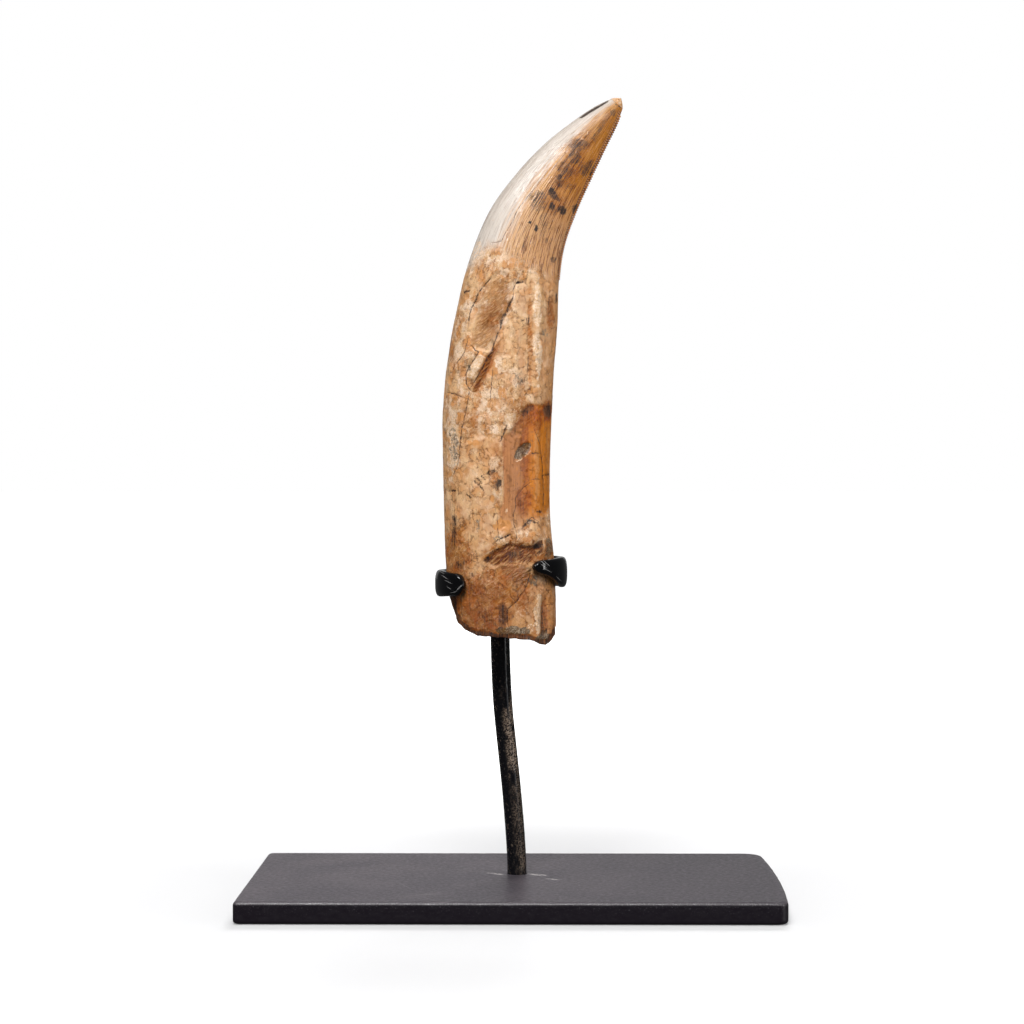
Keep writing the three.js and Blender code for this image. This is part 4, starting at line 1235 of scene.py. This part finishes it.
class Graph:
    """A material's nodes, with short calls for the few kinds that this scene uses."""

    def __init__(self, name):
        self.material = bpy.data.materials.new(name)
        self.material.use_nodes = True
        self.tree = self.material.node_tree
        self.tree.nodes.clear()
        self.shader = self.tree.nodes.new("ShaderNodeBsdfPrincipled")
        output = self.tree.nodes.new("ShaderNodeOutputMaterial")
        self.tree.links.new(self.shader.outputs[0], output.inputs[0])

    def put(self, socket, value):
        if isinstance(value, bpy.types.NodeSocket):
            self.tree.links.new(value, socket)
        elif isinstance(value, tuple) and len(value) == 3 and socket.type == "RGBA":
            socket.default_value = value + (1.0,)
        else:
            socket.default_value = value

    def set(self, name, value):
        self.put(self.shader.inputs[name], value)

    def attribute(self, name, vector=False):
        node = self.tree.nodes.new("ShaderNodeAttribute")
        node.attribute_name = name
        return node.outputs["Vector" if vector else "Fac"]

    def math(self, operation, *values):
        node = self.tree.nodes.new("ShaderNodeMath")
        node.operation = operation
        for socket, value in zip(node.inputs, values):
            self.put(socket, value)
        return node.outputs[0]

    def times(self, first, second):
        return self.math("MULTIPLY", first, second)

    def plus(self, first, second):
        return self.math("ADD", first, second)

    def minus(self, first, second):
        return self.math("SUBTRACT", first, second)

    def scaled(self, vector, scale):
        node = self.tree.nodes.new("ShaderNodeVectorMath")
        node.operation = "MULTIPLY"
        self.put(node.inputs[0], vector)
        node.inputs[1].default_value = scale
        return node.outputs[0]

    def moved(self, vector, shift):
        node = self.tree.nodes.new("ShaderNodeVectorMath")
        node.operation = "ADD"
        self.put(node.inputs[0], vector)
        self.put(node.inputs[1], shift)
        return node.outputs[0]

    def object_place(self):
        return self.tree.nodes.new("ShaderNodeTexCoord").outputs["Object"]

    def noise(self, place, scale, detail, roughness, output="Fac"):
        node = self.tree.nodes.new("ShaderNodeTexNoise")
        self.put(node.inputs["Vector"], place)
        node.inputs["Scale"].default_value = scale
        node.inputs["Detail"].default_value = detail
        node.inputs["Roughness"].default_value = roughness
        return node.outputs[output]

    def cells(self, place, scale, feature, output):
        node = self.tree.nodes.new("ShaderNodeTexVoronoi")
        node.feature = feature
        self.put(node.inputs["Vector"], place)
        node.inputs["Scale"].default_value = scale
        return node.outputs[output]

    def range(self, value, low, high, start=0.0, end=1.0):
        node = self.tree.nodes.new("ShaderNodeMapRange")
        node.interpolation_type = "SMOOTHSTEP"
        for socket, number in zip(node.inputs, (value, low, high, start, end)):
            self.put(socket, number)
        return node.outputs[0]

    def mix(self, factor, first, second, kind="MIX"):
        node = self.tree.nodes.new("ShaderNodeMix")
        node.data_type = "RGBA"
        node.blend_type = kind
        node.clamp_factor = True
        self.put(node.inputs[0], factor)
        self.put(node.inputs[6], first)
        self.put(node.inputs[7], second)
        return node.outputs[2]

    def layer(self, colour, tone, noise, low, high, strength=1.0, mask=None):
        """The colour with a tone over it, from nothing where the noise is at low to its strength at high."""
        factor = self.range(noise, low, high, 0.0, strength)
        if mask is not None:
            factor = self.times(factor, mask)
        return self.mix(factor, colour, tone)

    def ragged(self, mask, noise, amount=1.3, soft=0.12):
        """A mask whose edge follows the noise, so that a half strength shows as scattered specks."""
        shifted = self.plus(mask, self.times(self.minus(noise, 0.5), amount))
        return self.range(shifted, 0.5 - soft, 0.5 + soft)

    def contour(self, noise, half=0.012):
        """Thin wandering lines where the noise passes its middle value."""
        return self.range(self.math("ABSOLUTE", self.minus(noise, 0.5)), 0.3 * half, half, 1.0, 0.0)

    def turned(self, place, degrees, stretch):
        """Coordinates turned in the plane of the face, then stretched along each axis."""
        node = self.tree.nodes.new("ShaderNodeMapping")
        node.vector_type = "TEXTURE"
        self.put(node.inputs["Vector"], place)
        node.inputs["Rotation"].default_value = (0.0, math.radians(degrees), 0.0)
        node.inputs["Scale"].default_value = stretch
        return node.outputs[0]

    def stroke(self, place, start, end, half):
        """1 on a thin straight mark from start to end on a level face, and 0 elsewhere."""
        leg = end - start
        node = self.tree.nodes.new("ShaderNodeMapping")
        node.vector_type = "TEXTURE"
        self.put(node.inputs["Vector"], place)
        node.inputs["Location"].default_value = tuple((start + end) / 2)
        node.inputs["Rotation"].default_value = (0.0, 0.0, math.atan2(leg[1], leg[0]))
        node.inputs["Scale"].default_value = (math.hypot(leg[0], leg[1]) / 2, half, half)
        size = self.tree.nodes.new("ShaderNodeVectorMath")
        size.operation = "LENGTH"
        self.put(size.inputs[0], node.outputs[0])
        return self.range(size.outputs["Value"], 0.6, 1.0, 1.0, 0.0)

    def split(self, vector):
        node = self.tree.nodes.new("ShaderNodeSeparateXYZ")
        self.put(node.inputs[0], vector)
        return node.outputs

    def bump(self, height, strength, distance, under=None):
        node = self.tree.nodes.new("ShaderNodeBump")
        node.inputs["Strength"].default_value = strength
        node.inputs["Distance"].default_value = distance
        self.put(node.inputs["Height"], height)
        if under is not None:
            self.put(node.inputs["Normal"], under)
        return node.outputs[0]

    def lines(self, prefix, count, near, low, high):
        """1 on the stored lines and 0 elsewhere."""
        total = None
        for k in range(in_threes(count)):
            for part in self.split(self.attribute(f"{prefix}_{k}", True)):
                one = self.range(self.math("ABSOLUTE", part), low, high, 1.0, 0.0)
                total = one if total is None else self.math("MAXIMUM", total, one)
        return self.times(total, self.attribute(near))


def root_colour(g, place, distal, fine, speckle):
    """Dentine in smooth and crusty zones: cream, tan and orange flakes, specks and thin wandering lines."""
    crusty = g.range(g.attribute("crust"), 0.1, 0.7, 0.15, 1.0)
    mottled = g.range(crusty, 0.0, 1.0, 0.35, 1.0)
    patches = g.noise(g.scaled(place, (1.0, 1.0, 0.75)), 0.36, 7.0, 0.64)
    warm = g.noise(g.scaled(place, (1.0, 1.0, 0.8)), 0.42, 8.0, 0.68)
    streaks = g.noise(g.scaled(place, (1.5, 0.6, 0.14)), 1.0, 5.0, 0.65)
    pushed = g.moved(place, g.scaled(g.noise(place, 0.7, 4.0, 0.65, "Color"), (3.0, 3.0, 3.4)))
    flake_tone = g.split(g.cells(pushed, FLAKE_SCALE, "F1", "Color"))
    colour = g.mix(g.range(g.plus(patches, g.times(streaks, 0.2)), 0.46, 0.68), TAN, CREAM)
    colour = g.layer(colour, PALE, flake_tone[0], 0.60, 0.75, 0.4, mottled)
    colour = g.layer(colour, ORANGE, flake_tone[1], 0.74, 0.80, 0.6, mottled)
    colour = g.layer(colour, DISTAL_TAN, distal, 0.8, 0.96, 0.65)
    colour = g.layer(colour, ORANGE, warm, 0.51, 0.61, 0.85, mottled)
    colour = g.layer(colour, PALE, warm, 0.46, 0.36, 0.6, mottled)
    colour = g.layer(colour, PALE, speckle, 0.57, 0.66, 0.55, crusty)
    colour = g.layer(colour, RED_BROWN, speckle, 0.44, 0.35, 0.85, crusty)
    lines = g.times(g.contour(g.noise(place, 0.55, 4.0, 0.6)), g.range(patches, 0.42, 0.6))
    colour = g.mix(g.times(lines, 0.55), colour, DEEP_BROWN)
    flakes = g.cells(pushed, FLAKE_SCALE, "DISTANCE_TO_EDGE", "Distance")
    edges = g.times(g.range(flakes, 0.008, 0.045, 1.0, 0.0), g.range(warm, 0.46, 0.56))
    colour = g.mix(g.times(edges, 0.65), colour, DEEP_BROWN)
    grains = g.times(g.range(fine, 0.42, 0.33, 0.0, 0.9), crusty)
    colour = g.mix(grains, colour, DEEP_BROWN)
    low = g.range(g.split(place)[2], 26.0, 8.0, 0.0, 0.6)
    return g.mix(low, colour, g.mix(1.0, colour, BURNT, "MULTIPLY")), edges, crusty


def enamel_colour(g, place, distal, fine, speckle):
    """Crown enamel: beige along the mesial side to amber along the distal one, with fine lines along it."""
    streaks = g.noise(g.scaled(place, (1.5, 0.5, 0.09)), 1.0, 5.0, 0.65)
    hairs = g.noise(g.scaled(place, (3.4, 0.8, 0.12)), 1.0, 5.0, 0.7)
    up = g.split(place)[2]
    across = g.plus(distal, g.times(g.minus(streaks, 0.5), 0.5))
    colour = g.mix(g.range(across, 0.18, 0.45), CROWN_BEIGE, CROWN_MID)
    colour = g.layer(colour, CROWN_AMBER, across, 0.44, 0.85)
    foot = g.times(g.range(up, 116.0, 98.0, 0.0, 0.38), g.range(distal, 0.2, 0.5))
    colour = g.mix(foot, colour, CROWN_FOOT)
    shaded = g.times(g.range(hairs, 0.50, 0.57), g.range(distal, 0.2, 0.6, 0.25, 0.95))
    colour = g.mix(shaded, colour, DEEP_BROWN)
    light = g.times(g.range(hairs, 0.47, 0.39), g.range(distal, 0.2, 0.6, 0.35, 0.45))
    colour = g.mix(light, colour, g.mix(g.range(distal, 0.2, 0.6), CROWN_BEIGE, ENAMEL_LINE))
    colour = g.layer(colour, CROWN_BEIGE, speckle, 0.6, 0.72, 0.35)
    return g.mix(g.range(fine, 0.38, 0.28, 0.0, 0.6), colour, DEEP_BROWN), hairs


def tooth_material():
    g = Graph("fossil_tooth")
    place = g.attribute("place", True)
    distal = g.attribute("distal")
    crown = g.attribute("crown")
    fine = g.noise(place, 3.0, 6.0, 0.7)
    speckle = g.noise(place, 1.3, 8.0, 0.7)
    strokes = g.noise(g.turned(place, -38.0, (2.2, 1.0, 0.36)), 1.0, 3.0, 0.6)
    root, edges, crusty = root_colour(g, place, distal, fine, speckle)
    enamel, hairs = enamel_colour(g, place, distal, fine, speckle)
    colour = g.mix(crown, root, enamel)

    amber = g.attribute("amber")
    amber_tone = g.mix(g.range(g.plus(distal, g.times(speckle, 0.4)), 0.88, 1.08), AMBER_LEFT,
                       AMBER_RIGHT)
    amber_tone = g.layer(amber_tone, ORANGE, speckle, 0.55, 0.66, 0.5)
    amber_tone = g.layer(amber_tone, DEEP_BROWN, speckle, 0.44, 0.34, 0.6)
    amber_tone = g.layer(amber_tone, RED_BROWN, hairs, 0.5, 0.62, 0.5)
    colour = g.mix(amber, colour, amber_tone)
    brown_tone = g.mix(g.range(strokes, 0.40, 0.56), RED_BROWN, RUST)
    brown_tone = g.layer(brown_tone, DEEP_BROWN, strokes, 0.44, 0.37, 0.9)
    brown_tone = g.layer(brown_tone, CREAM, strokes, 0.54, 0.62, 0.75)
    colour = g.mix(g.times(g.ragged(g.attribute("orange"), speckle), 0.8), colour, ORANGE)
    colour = g.mix(g.ragged(g.attribute("brown"), strokes, 2.0, 0.16), colour, brown_tone)
    pale_tone = g.mix(g.range(fine, 0.4, 0.6), CREAM, PALE)
    colour = g.mix(g.times(g.ragged(g.attribute("pale"), speckle), 0.8), colour, pale_tone)
    grey_tone = g.mix(g.range(fine, 0.42, 0.6), GREY_DARK, GREY_PALE)
    colour = g.mix(g.times(g.ragged(g.attribute("grey"), speckle, 2.2, 0.15), 0.85), colour, grey_tone)
    feathered = g.plus(g.times(speckle, 0.5), g.times(strokes, 0.5))
    shade = g.times(g.attribute("shade"), g.range(feathered, 0.42, 0.57, 2.0, 0.8))
    colour = g.mix(shade, colour, g.mix(1.0, colour, BURNT, "MULTIPLY"))
    deep = g.plus(g.attribute("shade"), g.times(g.minus(speckle, 0.5), 0.8))
    colour = g.mix(g.range(deep, 0.9, 1.2), colour, g.mix(g.range(fine, 0.4, 0.6), DARK_RUST, RED_BROWN))
    tangled = g.plus(g.times(fine, 0.3), g.times(speckle, 0.2))
    tangled = g.plus(tangled, g.times(hairs, 0.5))
    stain = g.ragged(g.attribute("stain"), tangled, 4.6, 0.3)
    # Dark gaps between the denticles, counted along the keel: painted shade.
    phase = g.math("ABSOLUTE", g.minus(g.math("FRACT", g.attribute("keel")), 0.5))
    denticle_gap_shade = g.times(g.range(phase, 0.12, 0.24, 1.0, 0.0), g.attribute("near_keel"))
    colour = g.mix(g.times(g.attribute("near_keel"), 0.12), colour, CROWN_BEIGE)
    colour = g.mix(denticle_gap_shade, colour, DARK_RUST)
    halo = g.ragged(g.attribute("stain"), strokes, 1.6, 0.3)
    colour = g.mix(g.times(halo, 0.45), colour, DEEP_BROWN)
    colour = g.mix(stain, colour, STAIN)
    colour = g.mix(g.times(g.attribute("pores"), 0.6), colour, DEEP_BROWN)
    cracks = g.lines("cracks", len(CRACKS), "near_crack", 0.35, 1.05)
    broken = g.range(g.noise(place, 1.3, 5.0, 0.65), 0.38, 0.52, 0.15, 1.0)
    broken = g.times(broken, g.range(fine, 0.38, 0.5, 0.45, 1.0))
    colour = g.mix(g.times(cracks, broken), colour, CRACK)
    g.set("Base Color", colour)

    rough = g.mix(crown, g.range(speckle, 0.35, 0.65, 0.3, 0.54), g.range(speckle, 0.35, 0.65, 0.15, 0.25))
    rough = g.mix(amber, rough, g.range(speckle, 0.35, 0.65, 0.3, 0.45))
    g.set("Roughness", g.range(stain, 0.0, 1.0, rough, 0.6))
    g.set("Specular IOR Level", 0.36)
    rocky = g.plus(g.times(speckle, 0.6), g.times(fine, 0.35))
    rocky = g.times(rocky, g.range(crusty, 0.0, 1.0, 0.3, 1.0))
    rocky = g.plus(rocky, g.times(g.times(strokes, g.attribute("brown")), 2.2))
    rocky = g.minus(rocky, g.times(edges, 0.3))
    matt = g.minus(1.0, g.times(crown, 0.85))
    bump = g.bump(g.times(rocky, matt), 0.8, 0.0008)
    bump = g.bump(g.times(hairs, crown), 0.5, 0.0004, bump)
    g.set("Normal", bump)
    return g.material


def rod_material():
    g = Graph("rod_gloss_black")
    place = g.object_place()
    specks = g.noise(place, 1400.0, 4.0, 0.65)
    dust = g.noise(g.scaled(place, (1.0, 1.0, 0.4)), 420.0, 4.0, 0.6)
    bare = g.times(g.range(specks, 0.56, 0.66), g.range(dust, 0.4, 0.62, 0.0, 0.4))
    # Rubbed specks on the rod's right side: partly wear and partly a painted highlight.
    rubbed_sheen = g.times(g.range(g.noise(place, 2600.0, 4.0, 0.7), 0.44, 0.60), g.attribute("worn"))
    bare = g.math("MAXIMUM", bare, g.times(rubbed_sheen, g.range(dust, 0.38, 0.5)))
    g.set("Base Color", g.mix(bare, ROD_BLACK, BARE_STEEL_AND_SHEEN))
    g.set("Roughness", g.range(specks, 0.35, 0.65, 0.14, 0.34))
    g.set("Specular IOR Level", 0.12)
    g.set("Normal", g.bump(specks, 0.15, 0.0001))
    return g.material


def claw_material():
    g = Graph("claw_gloss_black")
    place = g.object_place()
    specks = g.noise(place, 900.0, 4.0, 0.6)
    scratch = g.lines("lines", len(CLAW_SCRATCHES), "near_line", 0.6, 1.3)
    worn = g.range(g.noise(place, 700.0, 4.0, 0.6), 0.62, 0.72, 0.0, 0.35)
    colour = g.mix(worn, CLAW_BLACK, CLAW_WORN)
    g.set("Base Color", g.mix(g.times(scratch, 0.55), colour, CLAW_SCRATCH))
    g.set("Roughness", g.range(specks, 0.35, 0.65, 0.08, 0.16))
    g.set("Specular IOR Level", 0.22)
    g.set("Normal", g.bump(specks, 0.1, 0.0001))
    return g.material


def plate_material():
    g = Graph("plate_satin_black")
    place = g.object_place()
    parts = g.split(place)
    mottle = g.noise(place, 60.0, 5.0, 0.6)
    grain = g.noise(place, 900.0, 4.0, 0.65)
    brushed = g.noise(g.scaled(place, (0.5, 6.0, 1.0)), 220.0, 4.0, 0.6)
    colour = g.mix(g.range(mottle, 0.35, 0.7), PLATE_PAINT, PLATE_MOTTLE)
    colour = g.layer(colour, PLATE_BRUSHED, brushed, 0.58, 0.75, 0.4)
    colour = g.mix(g.range(parts[0], -0.02, 0.06, 0.0, 0.6), colour, PLATE_SHADED)
    spots = g.noise(place, 420.0, 3.0, 0.6)
    colour = g.layer(colour, PLATE_SPOT, spots, 0.66, 0.72, 0.4)
    # The sides and underside take a far darker copy of the same paint: painted shade.
    colour = g.layer(colour, PLATE_SIDE_PAINTED_SHADE, parts[2], 0.0053, 0.0045)
    dust = g.noise(place, 2600.0, 3.0, 0.65)
    chipped = g.times(g.range(dust, 0.60, 0.68), g.range(parts[2], 0.0015, 0.005, 0.1, 0.9))
    colour = g.mix(g.times(chipped, g.range(parts[2], 0.00545, 0.0052)), colour, PLATE_CHIP)
    rim = g.times(g.range(parts[2], 0.0046, 0.0051), g.range(parts[2], 0.00549, 0.00530))
    for start, end, half, strength in PLATE_MARKS:
        mark = g.stroke(place, on_plate(start) * MM, on_plate(end) * MM, half * MM)
        broken = g.range(grain, 0.42, 0.58, 0.0, strength)
        colour = g.mix(g.times(mark, broken), colour, PLATE_SCRAPE)
    flecks = g.times(rim, g.range(dust, 0.50, 0.62))
    colour = g.mix(flecks, colour, PLATE_FLECK)
    g.set("Base Color", colour)
    g.set("Roughness", g.range(grain, 0.3, 0.7, 0.34, 0.5))
    g.set("Specular IOR Level", 0.35)
    g.set("Normal", g.bump(grain, 0.3, 0.0002))
    return g.material


def floor_material():
    g = Graph("studio_floor")
    near = g.split(g.object_place())
    away = g.math("SQRT", g.plus(g.math("POWER", near[0], 2.0), g.math("POWER", near[1], 2.0)))
    g.set("Base Color", FLOOR)
    g.set("Roughness", 0.9)
    g.set("Emission Color", (1.0, 1.0, 1.0))
    g.set("Emission Strength", g.range(away, 0.08, 0.30, *FLOOR_GLOW))
    return g.material


def studio_floor():
    """A wide pale floor, plain white from a short way off and without reflections in the object."""
    ring = [(FLOOR_REACH * math.cos(t) / MM, FLOOR_REACH * math.sin(t) / MM, -FLOOR_DROP)
            for t in np.linspace(0, 2 * math.pi, 64, endpoint=False)]
    floor = mesh_of("studio_floor", ring, [tuple(range(len(ring)))])
    floor.data.materials.append(floor_material())
    floor.visible_diffuse = False
    floor.visible_glossy = False


def softbox(name, at, size, power, seen_in):
    light = bpy.data.lights.new(name, "AREA")
    light.shape = "RECTANGLE"
    light.size, light.size_y = size
    light.energy = power
    lamp = bpy.data.objects.new(name, light)
    lamp.location = at
    lamp.visible_diffuse = seen_in != "gloss"
    lamp.visible_glossy = seen_in != "colour"
    lamp.rotation_euler = (AIM - Vector(at)).to_track_quat("-Z", "Y").to_euler()
    bpy.context.scene.collection.objects.link(lamp)


def lighting():
    """Dim light all round, seen as plain white by the camera, and the softboxes."""
    world = bpy.data.worlds.new("studio")
    world.use_nodes = True
    tree = world.node_tree
    tree.nodes.clear()
    output = tree.nodes.new("ShaderNodeOutputWorld")
    choice = tree.nodes.new("ShaderNodeMixShader")
    ray = tree.nodes.new("ShaderNodeLightPath")
    tree.links.new(ray.outputs["Is Camera Ray"], choice.inputs[0])
    for socket, strength in zip(choice.inputs[1:], (WORLD_LIGHT, 1.0)):
        light = tree.nodes.new("ShaderNodeBackground")
        light.inputs[1].default_value = strength
        light.inputs[0].default_value = (1.0, 1.0, 1.0, 1.0)
        tree.links.new(light.outputs[0], socket)
    tree.links.new(choice.outputs[0], output.inputs[0])
    bpy.context.scene.world = world
    for row in SOFTBOXES:
        softbox("softbox_" + row["name"], row["at"], row["size"], row["power"], row["seen_in"])


def camera():
    lens = bpy.data.cameras.new("camera")
    lens.sensor_width = 36.0
    lens.lens = FOCAL_PX * lens.sensor_width / IMAGE
    view = bpy.data.objects.new("camera", lens)
    right, up, forward = camera_axes()
    view.matrix_world = Matrix.LocRotScale(
        Vector(CAMERA_AT * MM), Matrix((right, up, -forward)).transposed().to_quaternion(), None)
    bpy.context.scene.collection.objects.link(view)
    bpy.context.scene.camera = view
    bpy.context.scene.view_settings.view_transform = "Standard"


def place_piece(piece, node, material):
    piece.data.materials.append(material)
    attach(piece, "root")
    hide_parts(node)


place_piece(tooth(), "tooth", tooth_material())
place_piece(support_rod(), "support_rod", rod_material())
claw_coat = claw_material()
for claw_name, claw_sizes in CLAWS.items():
    place_piece(claw(claw_name.replace("_claw", "_prong"), claw_sizes), claw_name, claw_coat)
place_piece(base_plate(), "base_plate", plate_material())
studio_floor()
lighting()
camera()
